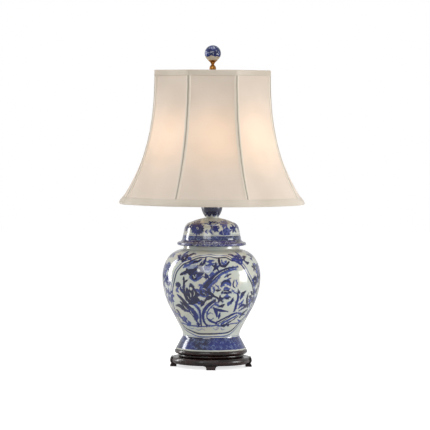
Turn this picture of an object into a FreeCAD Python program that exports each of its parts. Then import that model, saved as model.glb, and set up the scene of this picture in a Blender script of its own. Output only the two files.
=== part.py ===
"""Ginger jar table lamp: a lidded ceramic jar on a carved wooden stand, wired as a lamp.

Millimetres, +Z up, the front of the lamp faces -Y. The origin is the point on the table under
the middle of the stand. Every size is a named cell of the sheet, and the pieces are stacked
from the table up, each seated on the one below.
"""
import FreeCAD, Part
import math
import os
import Sketcher

doc = FreeCAD.newDocument("GingerJarLamp")
sheet = doc.addObject("Spreadsheet::Sheet", "Sizes")

SIZES = {
    # wooden stand: a turned plate on four bracket feet
    "foot_drop": 8.0,               # from the table to the underside of the plate
    "foot_depth": 14.0,
    "foot_width": 32.0,
    "foot_toe_width": 20.0,
    "foot_toe_height": 5.0,
    "foot_knee_inset": 3.0,
    "stand_radius": 90.0,           # over the feet
    "apron_inset": 2.0,             # the turned apron lies inside the feet
    "apron_height": 14.0,
    "apron_bulge": 4.0,
    "waist_radius": 70.0,
    "waist_height": 8.0,
    "waist_bulge": 2.6,
    "rim_land": 2.5,                # flat ring between the jar's seat and the rim's round edge
    "rim_height": 8.4,
    "rim_edge": 2.6,                # how far the rim's round edge stands out past its flat top
    "seat_depth": 2.0,
    "seat_clearance": 0.4,
    "nut_recess_radius": 22.0,
    "nut_recess_depth": 6.0,
    # ceramic jar
    "jar_seat_radius": 74.8,        # the foot that drops into the stand
    "jar_seat_height": 2.6,
    "jar_foot_step": 2.0,           # the foot's bead stands out past the seat
    "jar_bead_bulge": 1.2,
    "jar_bead_height": 5.6,
    "jar_flare_radius": 66.0,       # where the foot's flare runs into the waist
    "jar_flare_height": 26.0,
    "jar_waist_radius": 62.7,
    "jar_waist_height": 33.5,       # above the jar's own foot
    "jar_rise_radius": 66.0,        # where the waist runs into the flank
    "jar_rise_height": 47.0,
    "jar_flank_radius": 88.0,       # where the straight flank meets the round belly
    "jar_flank_height": 88.5,
    "jar_belly_radius": 107.8,
    "jar_belly_height": 163.5,
    "jar_shoulder_radius": 99.0,
    "jar_shoulder_rise": 35.0,      # belly up to the shoulder's rounder stretch
    "jar_shoulder_round": 46.0,
    "jar_collar_radius": 66.0,
    "jar_collar_rise": 23.8,        # up to where the shoulder turns into the neck
    "jar_neck_radius": 61.6,
    "jar_neck_rise": 4.0,
    "jar_neck_length": 19.2,
    "jar_wall": 6.0,
    "jar_floor": 8.0,
    "jar_foot_ring": 9.0,
    "jar_foot_recess": 4.5,
    "pipe_hole_radius": 6.5,        # drilled through the ceramic and the wood
    # ceramic lid with its knob
    "lid_overlap": 14.0,            # how far the flange comes down over the neck
    "lid_fit": 1.0,
    "lid_flange_radius": 76.0,
    "lid_flange_height": 7.0,
    "lid_flange_bulge": 2.5,
    "lid_cove_radius": 64.6,
    "lid_cove_height": 16.0,
    "lid_side_radius": 60.0,
    "lid_side_height": 36.0,
    "lid_crown_radius": 46.0,
    "lid_crown_height": 50.5,
    "lid_crown_round": 17.0,
    "lid_dome_round": 110.0,
    "lid_wall": 6.0,
    "knob_neck_radius": 15.5,
    "knob_neck_height": 60.0,
    "knob_cup_height": 63.5,
    "knob_flare_radius": 23.4,
    "knob_flare_height": 84.0,
    "knob_flare_round": 40.0,
    "knob_top_round": 15.5,
    "knob_top_radius": 18.0,
    "knob_height": 98.0,
    # threaded pipe that clamps the lamp together
    "pipe_radius": 4.76,
    "pipe_bore": 3.6,
    "pipe_tail": 8.0,               # below the nut recess's ceiling
    "thread_clearance": 0.08,
    "washer_radius": 16.0,
    "washer_thickness": 1.6,
    "nut_across_flats": 14.3,
    "nut_thickness": 3.4,
    "bushing_radius": 7.4,
    "bushing_height": 3.2,
    "bushing_lip": 1.4,
    # brass neck under the socket
    "cap_radius": 21.0,
    "cap_height": 5.0,
    "cap_sheet": 1.2,
    "neck_radius": 8.0,
    "neck_wall": 2.6,
    "neck_height": 25.0,
    # harp and its saddle
    "saddle_sheet": 1.6,
    "saddle_width": 14.0,
    "saddle_half_span": 28.0,
    "saddle_ear_width": 5.0,
    "saddle_shoulder": 8.0,
    "saddle_ear_height": 15.0,
    "harp_wire_radius": 2.0,
    "harp_leg": 32.0,
    "harp_belly_half": 54.0,
    "harp_belly_low": 82.0,
    "harp_belly_high": 150.0,
    "harp_crown_half": 27.0,
    "harp_crown_drop": 13.0,
    "harp_flat_half": 11.0,
    "harp_height": 229.0,           # ear tops to the middle of the top wire
    "harp_leg_bend": 22.0,
    "harp_belly_bend": 70.0,
    "harp_crown_bend": 24.0,
    "harp_flat_bend": 12.0,
    "ferrule_bore": 3.3,
    "ferrule_wall": 0.9,
    "ferrule_height": 17.0,
    "stud_radius": 5.6,
    "stud_height": 4.5,             # each way from the middle of the wire
    "stud_thread_radius": 3.0,
    "stud_thread_length": 15.0,
    # lamp socket with its turn switch
    "socket_hub_radius": 8.4,
    "socket_hub_height": 5.0,
    "socket_cap_height": 16.0,
    "socket_cap_floor_radius": 13.0,
    "socket_cap_round": 4.3,
    "socket_shell_radius": 16.6,
    "socket_shell_height": 42.0,
    "socket_sheet": 0.6,
    "socket_lap": 5.0,              # how far the shell goes into the cap
    "socket_fit": 0.1,
    "socket_floor": 1.2,
    "insulator_wall": 0.9,
    "insulator_inset": 1.0,
    "core_height": 19.0,
    "core_chamfer": 3.2,
    "core_clearance": 0.3,
    "screw_shell_bore": 13.4,
    "screw_shell_sheet": 0.5,
    "screw_shell_height": 21.0,
    "contact_radius": 4.0,
    "contact_height": 2.6,
    "terminal_radius": 2.8,
    "terminal_pocket": 0.6,
    "terminal_height": 1.6,
    "terminal_reach": 10.5,
    "terminal_axis": 7.0,
    "switch_height": 14.0,          # axis above the core's foot
    "shaft_radius": 2.0,
    "shaft_fit": 0.05,
    "shaft_depth": 6.0,             # bore depth in the core
    "shaft_length": 22.0,
    "switch_hole_radius": 3.2,
    "switch_knob_radius": 7.0,
    "switch_knob_length": 13.0,
    "switch_knob_gap": 3.0,
    "switch_knob_waist": 5.4,
    "switch_knob_land": 2.0,        # straight stretch at the knob's outer end
    # light bulb
    "bulb_radius": 30.0,
    "bulb_centre_height": 80.0,     # above the bulb's contact
    "bulb_neck_radius": 13.6,
    "bulb_neck_height": 27.0,
    "bulb_shoulder_drop": 13.0,
    "bulb_shoulder_round": 160.0,
    "bulb_glass": 0.8,
    "crown_flat": 0.6,              # radius of the flat spot at the top of the glass and of the ball
    "bulb_cap_radius": 13.0,
    "bulb_cap_height": 22.0,
    "bulb_contact_radius": 4.6,
    "bulb_contact_height": 2.0,
    "bulb_glaze_radius": 9.0,
    "bulb_glaze_height": 4.0,
    "bulb_stem_radius": 5.0,
    "bulb_stem_foot": 10.0,
    "bulb_stem_height": 24.0,
    # eight-sided bell shade
    "shade_drop": 280.6,            # spider's hub down to the lower edge of the cover
    "shade_rise": 7.4,              # from the hub's underside up to the top edge of the trim
    "shade_top_apothem": 125.6,
    "shade_flare": 76.5,
    "shade_bell_power": 2.55,
    "shade_round_in": 0.062,        # how much rounder the section is at the lower rim than at the top
    "shade_round_power": 3.0,
    "cover_thickness": 0.9,
    "lining_thickness": 0.6,
    "glue_gap": 0.1,
    "ring_wire": 3.0,
    "rib_wire": 2.6,
    "spider_hub_radius": 12.7,
    "spider_hole": 3.5,
    "trim_band": 12.5,
    "trim_thickness": 1.2,
    "trim_round": 1.5,
    "trim_roll": 2.0,
    "lower_trim_band": 11.0,
    "lower_trim_drop": 2.0,
    "trim_fit": 0.25,               # room round the rim inside the lower trim
    "trim_edge": 0.8,
    "seam_trim_width": 11.0,
    "seam_trim_thickness": 1.1,
    # finial
    "finial_foot_radius": 5.4,
    "finial_bead_radius": 7.3,
    "finial_foot_height": 1.2,
    "finial_bead_height": 7.8,
    "finial_bell_round": 9.0,
    "finial_stem_radius": 3.2,
    "finial_stem_height": 16.4,
    "finial_stem_length": 1.0,
    "finial_cup_radius": 10.2,
    "finial_cup_round": 14.0,
    "finial_cup_lip": 0.8,
    "finial_cup_height": 26.6,
    "finial_bore": 3.3,
    "finial_bore_depth": 13.0,
    "ball_radius": 17.9,
    "ball_centre_height": 41.8,
}

for row, (alias, number) in enumerate(SIZES.items(), start=1):
    sheet.set(f"A{row}", alias)
    sheet.set(f"B{row}", str(number))
    sheet.setAlias(f"B{row}", alias)
doc.recompute()

pieces = []                         # (node name, object) in the order they are stacked


def size(expression):
    """Number that an expression of the sheet's cells gives."""
    return float(sheet.evalExpression(expression))


def keep(label, piece):
    """Name a finished piece."""
    piece.Label = label
    pieces.append((label, piece))
    return piece


def bind(piece, **expressions):
    """Bind properties, written with a double underscore for each dot, to expressions."""
    for name, expression in expressions.items():
        piece.setExpression(name.replace("__", "."), expression)
    return piece


def vertical_arc(radius_a, height_a, radius_b, height_b):
    """Radius of the arc that leaves point a upright and passes through point b."""
    across = f"abs(({radius_a}) - ({radius_b}))"
    along = f"abs(({height_a}) - ({height_b}))"
    return f"({across}^2 + {along}^2) / (2 * {across})"


def bulge_arc(chord, bulge):
    """Radius of the arc that stands out by bulge from its chord."""
    return f"(({chord} / 2)^2 + ({bulge})^2) / (2 * ({bulge}))"


# ------------------------------------------------------------------ sketched outlines

def outline(sketch, points):
    """Draw a closed outline of lines and arcs, each corner and radius bound to the sheet.

    A point is (across, up), and (across, up, radius, side) where an arc runs from it to the
    next point; side is +1 when the arc bulges to the right of the way it runs, else -1.
    """
    corners = [(size(point[0]), size(point[1])) for point in points]
    ends = []
    for index, point in enumerate(points):
        start = FreeCAD.Vector(*corners[index], 0)
        stop = FreeCAD.Vector(*corners[(index + 1) % len(points)], 0)
        if len(point) == 2:
            number = sketch.addGeometry(Part.LineSegment(start, stop), False)
            ends.append((number, 1, 2))
            continue
        radius, side = size(point[2]), point[3]
        chord = stop - start
        rise = math.sqrt(max(radius ** 2 - (chord.Length / 2) ** 2, 0.0))
        left = FreeCAD.Vector(-chord.y, chord.x, 0).normalize()
        centre = start + chord * 0.5 + left * rise * side
        circle = Part.Circle(centre, FreeCAD.Vector(0, 0, 1), radius)
        first = math.atan2(start.y - centre.y, start.x - centre.x)
        last = math.atan2(stop.y - centre.y, stop.x - centre.x)
        if side > 0:
            number = sketch.addGeometry(Part.ArcOfCircle(circle, first, last), False)
            ends.append((number, 1, 2))
        else:
            number = sketch.addGeometry(Part.ArcOfCircle(circle, last, first), False)
            ends.append((number, 2, 1))
    bound = []
    for index, point in enumerate(points):
        number, start, stop = ends[index]
        following = ends[(index + 1) % len(points)]
        sketch.addConstraint(Sketcher.Constraint("Coincident", number, stop, following[0], following[1]))
        for kind, axis, coordinate in (("DistanceX", -2, 0), ("DistanceY", -1, 1)):
            if point[coordinate] == "0":
                sketch.addConstraint(Sketcher.Constraint("PointOnObject", number, start, axis))
                continue
            rule = Sketcher.Constraint(kind, -1, 1, number, start, corners[index][coordinate])
            bound.append((sketch.addConstraint(rule), point[coordinate]))
        if len(point) == 4:
            rule = Sketcher.Constraint("Radius", number, size(point[2]))
            bound.append((sketch.addConstraint(rule), point[2]))
    for number, expression in bound:
        sketch.setExpression(f"Constraints[{number}]", expression)


def sketch_in(body, plane, points):
    """Sketch with that outline on one of the body's own origin planes."""
    sketch = body.newObject("Sketcher::SketchObject", f"{body.Name}Outline")
    origin = next(item for item in body.Origin.OriginFeatures if item.Role == plane)
    sketch.AttachmentSupport = [(origin, "")]
    sketch.MapMode = "FlatFace"
    outline(sketch, points)
    return sketch


def turned_body(name, points, seat):
    """Body turned about the lamp's axis, standing at the height that seat gives."""
    body = doc.addObject("PartDesign::Body", name)
    sketch = sketch_in(body, "XZ_Plane", points)
    lathe = body.newObject("PartDesign::Revolution", f"{name}Turning")
    lathe.Profile = sketch
    lathe.ReferenceAxis = (sketch, ["V_Axis"])
    lathe.Angle = 360.0
    sketch.Visibility = False
    bind(body, Placement__Base__z=seat)
    return body


def turned(label, points, seat):
    """Turned body that is a finished piece."""
    return keep(label, turned_body(label, points, seat))


def padded_body(name, plane, points, length, seat="0"):
    """Body padded both ways from a plane through the lamp's axis."""
    body = doc.addObject("PartDesign::Body", name)
    sketch = sketch_in(body, plane, points)
    pad = body.newObject("PartDesign::Pad", f"{name}Pad")
    pad.Profile = sketch
    pad.Midplane = True
    sketch.Visibility = False
    bind(pad, Length=length)
    bind(body, Placement__Base__z=seat)
    return body


def rod(name, radius, length, x="0", y="0", z="0", towards="+Z"):
    """Cylinder that starts at x, y, z and runs towards a direction."""
    turns = {"+Z": (0, 0, 0), "+X": (0, 90, 0), "-X": (0, -90, 0), "-Y": (0, 0, 90), "+Y": (0, 0, -90)}
    solid = doc.addObject("Part::Cylinder", name)
    solid.Placement.Rotation = FreeCAD.Rotation(*turns[towards])
    return bind(solid, Radius=radius, Height=length, Placement__Base__x=x, Placement__Base__y=y,
                Placement__Base__z=z)


def box(name, length, width, height, base):
    """Box centred on the lamp's axis, standing at base."""
    block = doc.addObject("Part::Box", name)
    return bind(block, Length=length, Width=width, Height=height, Placement__Base__x=f"-({length}) / 2",
                Placement__Base__y=f"-({width}) / 2", Placement__Base__z=base)


def cut(name, base, tool):
    """First shape less the second."""
    result = doc.addObject("Part::Cut", name)
    result.Base = base
    result.Tool = tool
    return result


def common(name, base, tool):
    """What two shapes share."""
    result = doc.addObject("Part::Common", name)
    result.Base = base
    result.Tool = tool
    return result


def together(name, shapes):
    """Several separate solids as one object."""
    group = doc.addObject("Part::Compound", name)
    group.Links = shapes
    return group


def fused(name, shapes):
    """Several touching shapes as one solid."""
    result = doc.addObject("Part::MultiFuse", name)
    result.Shapes = shapes
    return result


# ------------------------------------------------------------------ heights, table up

LEDGE = "(Sizes.foot_drop + Sizes.apron_height)"
RECESS = "(Sizes.foot_drop + Sizes.nut_recess_depth)"
STAND_TOP = f"({LEDGE} + Sizes.waist_height + Sizes.rim_height)"
JAR_FOOT = f"({STAND_TOP} - Sizes.seat_depth)"
JAR_SHOULDER = "(Sizes.jar_belly_height + Sizes.jar_shoulder_rise)"
JAR_COLLAR = f"({JAR_SHOULDER} + Sizes.jar_collar_rise)"
JAR_NECK = f"({JAR_COLLAR} + Sizes.jar_neck_rise)"
JAR_HEIGHT = f"({JAR_NECK} + Sizes.jar_neck_length)"
JAR_TOP = f"({JAR_FOOT} + {JAR_HEIGHT})"
LID_FOOT = f"({JAR_TOP} - Sizes.lid_overlap)"
KNOB_TOP = f"({LID_FOOT} + Sizes.knob_height)"
NECK_FOOT = f"({KNOB_TOP} + Sizes.cap_height)"
SADDLE_FOOT = f"({NECK_FOOT} + Sizes.neck_height)"
SOCKET_FOOT = f"({SADDLE_FOOT} + Sizes.saddle_sheet)"
SHELL_FOOT = f"({SOCKET_FOOT} + Sizes.socket_cap_height - Sizes.socket_lap)"
CORE_FOOT = f"({SOCKET_FOOT} + Sizes.socket_hub_height + Sizes.socket_floor)"
CORE_TOP = f"({CORE_FOOT} + Sizes.core_height)"
BULB_FOOT = f"({CORE_TOP} + Sizes.contact_height)"
BULB_CAP_TOP = "(Sizes.bulb_contact_height + Sizes.bulb_cap_height)"
SWITCH_AXIS = f"({CORE_FOOT} + Sizes.switch_height)"
EAR_SHOULDER = f"({SADDLE_FOOT} + Sizes.saddle_shoulder)"
EAR_TOP = f"({SADDLE_FOOT} + Sizes.saddle_ear_height)"
HARP_TOP = f"({EAR_TOP} + Sizes.harp_height)"
HUB_FOOT = f"({HARP_TOP} + Sizes.stud_height)"
HUB_TOP = f"({HUB_FOOT} + Sizes.ring_wire)"
BALL_FOOT = f"({HUB_TOP} + Sizes.finial_cup_height)"
COVER_FOOT = f"({HUB_FOOT} - Sizes.shade_drop)"
TRIM_TOP = f"({HUB_FOOT} + Sizes.shade_rise)"


# ------------------------------------------------------------------ stand

def stand_base():
    """Turned plate with bulging apron, waist roll and rounded rim, notched for the feet."""
    apron_flat = "(Sizes.stand_radius - Sizes.apron_inset - Sizes.apron_bulge)"
    ledge = "Sizes.apron_height"
    waist_top = f"({ledge} + Sizes.waist_height)"
    top = f"({waist_top} + Sizes.rim_height)"
    seat = "(Sizes.jar_seat_radius + Sizes.seat_clearance)"
    rim_flat = f"({seat} + Sizes.rim_land)"
    floor = f"({top} - Sizes.seat_depth)"
    turning = turned_body("StandTurning", [
        ("Sizes.nut_recess_radius", "0"),
        (apron_flat, "0", bulge_arc("Sizes.apron_height", "Sizes.apron_bulge"), 1),
        (apron_flat, ledge),
        ("Sizes.waist_radius", ledge, bulge_arc("Sizes.waist_height", "Sizes.waist_bulge"), 1),
        ("Sizes.waist_radius", waist_top),
        (rim_flat, waist_top, bulge_arc("Sizes.rim_height", "Sizes.rim_edge"), 1),
        (rim_flat, top),
        (seat, top),
        (seat, floor),
        ("Sizes.pipe_hole_radius", floor),
        ("Sizes.pipe_hole_radius", "Sizes.nut_recess_depth"),
        ("Sizes.nut_recess_radius", "Sizes.nut_recess_depth"),
    ], "Sizes.foot_drop")
    notch_width = "(Sizes.foot_width + 2 * Sizes.glue_gap)"
    span = "(2 * Sizes.stand_radius + Sizes.foot_depth)"
    notches = fused("FootNotches", [
        box("NotchAcross", span, notch_width, "Sizes.apron_height", "Sizes.foot_drop"),
        box("NotchAlong", notch_width, span, "Sizes.apron_height", "Sizes.foot_drop")])
    inner = "(2 * (Sizes.stand_radius - Sizes.foot_depth))"
    middle = box("NotchStop", inner, inner, "Sizes.apron_height", "Sizes.foot_drop")
    keep("stand_base", cut("StandBase", turning, cut("NotchEnds", notches, middle)))


def stand_feet():
    """Four bracket feet: an S-curved side profile cut to a scalloped front profile."""
    inner = "(Sizes.stand_radius - Sizes.foot_depth)"
    knee = "(Sizes.stand_radius - Sizes.foot_knee_inset)"
    side = padded_body("FootSide", "XZ_Plane", [
        (inner, "0"),
        ("Sizes.stand_radius", "0"),
        ("Sizes.stand_radius", "Sizes.foot_toe_height / 2"),
        (knee, "Sizes.foot_drop", bulge_arc("Sizes.apron_height", "Sizes.foot_knee_inset"), 1),
        (knee, LEDGE),
        (inner, LEDGE),
    ], "Sizes.foot_width")
    half = "Sizes.foot_width / 2"
    toe = "Sizes.foot_toe_width / 2"
    scallop = vertical_arc(half, "Sizes.foot_drop", toe, "Sizes.foot_toe_height / 2")
    front = padded_body("FootFront", "YZ_Plane", [
        (toe, "0"),
        (toe, "Sizes.foot_toe_height / 2", scallop, -1),
        (half, "Sizes.foot_drop"),
        (half, LEDGE),
        ("-" + half, LEDGE),
        ("-" + half, "Sizes.foot_drop", scallop, -1),
        ("-" + toe, "Sizes.foot_toe_height / 2"),
        ("-" + toe, "0"),
    ], "3 * Sizes.stand_radius")
    feet = []
    for quarter in range(4):
        foot = common(f"Foot{quarter}", side, front)
        foot.Placement.Rotation = FreeCAD.Rotation(FreeCAD.Vector(0, 0, 1), 90 * quarter)
        feet.append(foot)
    keep("stand_feet", together("Feet", feet))


# ------------------------------------------------------------------ jar and lid

def jar_body():
    """Hollow thrown jar: beaded foot, flared waist, full shoulder and a straight neck."""
    wall = "Sizes.jar_wall"
    ring = "(Sizes.jar_seat_radius - Sizes.jar_foot_ring)"
    bead = "(Sizes.jar_bead_height - Sizes.jar_seat_height)"
    floor_top = "(Sizes.jar_foot_recess + Sizes.jar_floor)"
    neck_bore = f"(Sizes.jar_neck_radius - {wall})"
    foot_radius = "(Sizes.jar_seat_radius + Sizes.jar_foot_step)"
    inner_shoulder = f"({JAR_COLLAR} - {wall})"
    inner_belly = f"(Sizes.jar_belly_radius - {wall})"
    inner_flank = f"(Sizes.jar_flank_radius - {wall})"
    turned("jar_body", [
        (ring, "0"),
        ("Sizes.jar_seat_radius", "0"),
        ("Sizes.jar_seat_radius", "Sizes.jar_seat_height"),
        (foot_radius, "Sizes.jar_seat_height", bulge_arc(bead, "Sizes.jar_bead_bulge"), 1),
        (foot_radius, "Sizes.jar_bead_height"),
        ("Sizes.jar_flare_radius", "Sizes.jar_flare_height",
         vertical_arc("Sizes.jar_waist_radius", "Sizes.jar_waist_height",
                      "Sizes.jar_flare_radius", "Sizes.jar_flare_height"), -1),
        ("Sizes.jar_waist_radius", "Sizes.jar_waist_height",
         vertical_arc("Sizes.jar_waist_radius", "Sizes.jar_waist_height",
                      "Sizes.jar_rise_radius", "Sizes.jar_rise_height"), -1),
        ("Sizes.jar_rise_radius", "Sizes.jar_rise_height"),
        ("Sizes.jar_flank_radius", "Sizes.jar_flank_height",
         vertical_arc("Sizes.jar_belly_radius", "Sizes.jar_belly_height",
                      "Sizes.jar_flank_radius", "Sizes.jar_flank_height"), 1),
        ("Sizes.jar_belly_radius", "Sizes.jar_belly_height",
         vertical_arc("Sizes.jar_belly_radius", "Sizes.jar_belly_height",
                      "Sizes.jar_shoulder_radius", JAR_SHOULDER), 1),
        ("Sizes.jar_shoulder_radius", JAR_SHOULDER, "Sizes.jar_shoulder_round", 1),
        ("Sizes.jar_collar_radius", JAR_COLLAR,
         vertical_arc("Sizes.jar_neck_radius", JAR_NECK,
                      "Sizes.jar_collar_radius", JAR_COLLAR), -1),
        ("Sizes.jar_neck_radius", JAR_NECK),
        ("Sizes.jar_neck_radius", JAR_HEIGHT),
        (neck_bore, JAR_HEIGHT),
        (neck_bore, inner_shoulder,
         vertical_arc(inner_belly, "Sizes.jar_belly_height", neck_bore, inner_shoulder), -1),
        (inner_belly, "Sizes.jar_belly_height",
         vertical_arc(inner_belly, "Sizes.jar_belly_height", inner_flank, "Sizes.jar_flank_height"), -1),
        (inner_flank, "Sizes.jar_flank_height"),
        (f"(Sizes.jar_rise_radius - {wall})", "Sizes.jar_rise_height"),
        (f"(Sizes.jar_waist_radius - {wall})", "Sizes.jar_waist_height"),
        (f"(Sizes.jar_waist_radius - {wall})", floor_top),
        ("Sizes.pipe_hole_radius", floor_top),
        ("Sizes.pipe_hole_radius", "Sizes.jar_foot_recess"),
        (ring, "Sizes.jar_foot_recess"),
    ], JAR_FOOT)


def jar_lid():
    """Domed lid whose flange caps the neck, with a flared knob thrown in one with it."""
    wall = "Sizes.lid_wall"
    skirt_bore = "(Sizes.jar_neck_radius + Sizes.lid_fit)"
    seat = f"(Sizes.jar_neck_radius - {wall})"
    tip = "(Sizes.lid_flange_radius - Sizes.lid_flange_bulge)"
    turned("jar_lid", [
        (skirt_bore, "0"),
        (tip, "0", bulge_arc("Sizes.lid_flange_height", "Sizes.lid_flange_bulge"), 1),
        (tip, "Sizes.lid_flange_height",
         vertical_arc("Sizes.lid_cove_radius", "Sizes.lid_cove_height", tip, "Sizes.lid_flange_height"), -1),
        ("Sizes.lid_cove_radius", "Sizes.lid_cove_height"),
        ("Sizes.lid_side_radius", "Sizes.lid_side_height", "Sizes.lid_crown_round", 1),
        ("Sizes.lid_crown_radius", "Sizes.lid_crown_height", "Sizes.lid_dome_round", 1),
        ("Sizes.knob_neck_radius", "Sizes.knob_neck_height"),
        ("Sizes.knob_neck_radius", "Sizes.knob_cup_height", "Sizes.knob_flare_round", 1),
        ("Sizes.knob_flare_radius", "Sizes.knob_flare_height", "Sizes.knob_top_round", 1),
        ("Sizes.knob_top_radius", "Sizes.knob_height"),
        ("Sizes.pipe_hole_radius", "Sizes.knob_height"),
        ("Sizes.pipe_hole_radius", "Sizes.lid_crown_height"),
        (f"(Sizes.lid_crown_radius - {wall})", f"(Sizes.lid_crown_height - {wall})"),
        (f"(Sizes.lid_side_radius - {wall})", "Sizes.lid_side_height"),
        (seat, "Sizes.lid_overlap"),
        (skirt_bore, "Sizes.lid_overlap"),
    ], LID_FOOT)


# ------------------------------------------------------------------ pipe and clamping hardware

def lamp_pipe():
    """Threaded pipe from under the stand up into the socket's cap."""
    foot = f"({RECESS} - Sizes.pipe_tail)"
    length = f"({CORE_FOOT} - Sizes.socket_floor / 2 - {foot})"
    turned("lamp_pipe", [
        ("Sizes.pipe_bore", "0"),
        ("Sizes.pipe_radius", "0"),
        ("Sizes.pipe_radius", length),
        ("Sizes.pipe_bore", length),
    ], foot)


def bottom_hardware():
    """Washer and locknut in the stand's recess, and the bushing that lines the pipe's end."""
    hole = "(Sizes.pipe_radius + Sizes.thread_clearance)"
    turned("bottom_washer", [
        (hole, "0"),
        ("Sizes.washer_radius", "0"),
        ("Sizes.washer_radius", "Sizes.washer_thickness"),
        (hole, "Sizes.washer_thickness"),
    ], f"({RECESS} - Sizes.washer_thickness)")
    foot = f"({RECESS} - Sizes.washer_thickness - Sizes.nut_thickness)"
    hexagon = doc.addObject("Part::Prism", "NutHexagon")
    hexagon.Polygon = 6
    bind(hexagon, Circumradius="Sizes.nut_across_flats / 2 / cos(30)", Height="Sizes.nut_thickness",
         Placement__Base__z=foot)
    keep("bottom_locknut", cut("Locknut", hexagon, rod("NutBore", hole, "Sizes.nut_thickness", z=foot)))
    lip = "Sizes.bushing_lip"
    turned("pipe_bushing", [
        ("Sizes.pipe_bore", "0"),
        ("Sizes.bushing_radius", "0"),
        ("Sizes.bushing_radius", "Sizes.bushing_height"),
        (hole, "Sizes.bushing_height"),
        (hole, lip),
        ("Sizes.pipe_bore", lip),
    ], f"({RECESS} - Sizes.pipe_tail - {lip})")


def brass_neck():
    """Spun cap on the knob and the tube that carries the harp's saddle."""
    hole = "(Sizes.pipe_radius + Sizes.thread_clearance)"
    sheet_top = "(Sizes.cap_height - Sizes.cap_sheet)"
    turned("vase_cap", [
        ("(Sizes.cap_radius - Sizes.cap_sheet)", "0"),
        ("Sizes.cap_radius", "0"),
        ("Sizes.cap_radius", "Sizes.cap_sheet"),
        ("(Sizes.neck_radius + Sizes.cap_sheet)", "Sizes.cap_height"),
        (hole, "Sizes.cap_height"),
        (hole, sheet_top),
        ("Sizes.neck_radius", sheet_top),
        ("(Sizes.cap_radius - Sizes.cap_sheet)", "Sizes.cap_sheet / 2"),
    ], KNOB_TOP)
    bore = "(Sizes.neck_radius - Sizes.neck_wall)"
    turned("neck_tube", [
        (bore, "0"),
        ("Sizes.neck_radius", "0"),
        ("Sizes.neck_radius", "Sizes.neck_height"),
        (bore, "Sizes.neck_height"),
    ], NECK_FOOT)


# ------------------------------------------------------------------ harp

def harp_saddle():
    """Strip of sheet bent up into two ears, each with a shoulder that a ferrule rests on."""
    outer = "(Sizes.saddle_half_span + Sizes.saddle_sheet / 2)"
    inner = "(Sizes.saddle_half_span - Sizes.saddle_sheet / 2)"
    strip = padded_body("SaddleStrip", "XZ_Plane", [
        ("-" + outer, "0"),
        (outer, "0"),
        (outer, "Sizes.saddle_ear_height"),
        (inner, "Sizes.saddle_ear_height"),
        (inner, "Sizes.saddle_sheet"),
        ("-" + inner, "Sizes.saddle_sheet"),
        ("-" + inner, "Sizes.saddle_ear_height"),
        ("-" + outer, "Sizes.saddle_ear_height"),
    ], "Sizes.saddle_width", SADDLE_FOOT)
    reach = f"3 * {outer}"
    height = "Sizes.saddle_ear_height"
    blank = box("EarBlank", reach, "2 * Sizes.saddle_width", height, EAR_SHOULDER)
    ears = box("EarWidth", reach, "Sizes.saddle_ear_width", height, EAR_SHOULDER)
    hole = rod("SaddleHole", "(Sizes.pipe_radius + Sizes.thread_clearance)", "2 * Sizes.saddle_sheet",
               z=f"{SADDLE_FOOT} - Sizes.saddle_sheet / 2")
    shaped = cut("SaddleShaped", strip, cut("EarSides", blank, ears))
    keep("harp_saddle", cut("HarpSaddle", shaped, hole))


def rounded_path(corners, bends):
    """Wire through corners in the XZ plane, each inner corner rounded by its bend radius."""
    points = [FreeCAD.Vector(across, 0, up) for across, up in corners]
    edges = []
    last = points[0]
    for before, corner, after, bend in zip(points, points[1:], points[2:], bends):
        back = (before - corner).normalize()
        ahead = (after - corner).normalize()
        half_turn = (math.pi - back.getAngle(ahead)) / 2
        reach = bend * math.tan(half_turn)
        start = corner + back * reach
        stop = corner + ahead * reach
        inward = (back + ahead).normalize()
        middle = corner + inward * (bend / math.cos(half_turn) - bend)
        edges.append(Part.LineSegment(last, start).toShape())
        edges.append(Part.Arc(start, middle, stop).toShape())
        last = stop
    edges.append(Part.LineSegment(last, points[-1]).toShape())
    return Part.Wire(edges)


def harp_wire():
    """Bent wire that bows round the bulb, from one ear of the saddle to the other."""
    right = [(size("Sizes.harp_flat_half"), size(HARP_TOP)),
             (size("Sizes.harp_crown_half"), size(f"{HARP_TOP} - Sizes.harp_crown_drop")),
             (size("Sizes.harp_belly_half"), size(f"{EAR_TOP} + Sizes.harp_belly_high")),
             (size("Sizes.harp_belly_half"), size(f"{EAR_TOP} + Sizes.harp_belly_low")),
             (size("Sizes.saddle_half_span"), size(f"{EAR_TOP} + Sizes.harp_leg")),
             (size("Sizes.saddle_half_span"), size(EAR_TOP))]
    bends = [size(f"Sizes.harp_{name}_bend") for name in ("flat", "crown", "belly", "belly", "leg")]
    left = [(-across, up) for across, up in reversed(right)]
    path = rounded_path(left + right, bends[::-1] + bends)
    section = Part.Wire(Part.Circle(FreeCAD.Vector(left[0][0], 0, left[0][1]), FreeCAD.Vector(0, 0, 1),
                                    size("Sizes.harp_wire_radius")).toShape())
    harp = doc.addObject("Part::Feature", "HarpWire")
    harp.Shape = path.makePipeShell([section], True, False)
    keep("harp_wire", harp)


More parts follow.
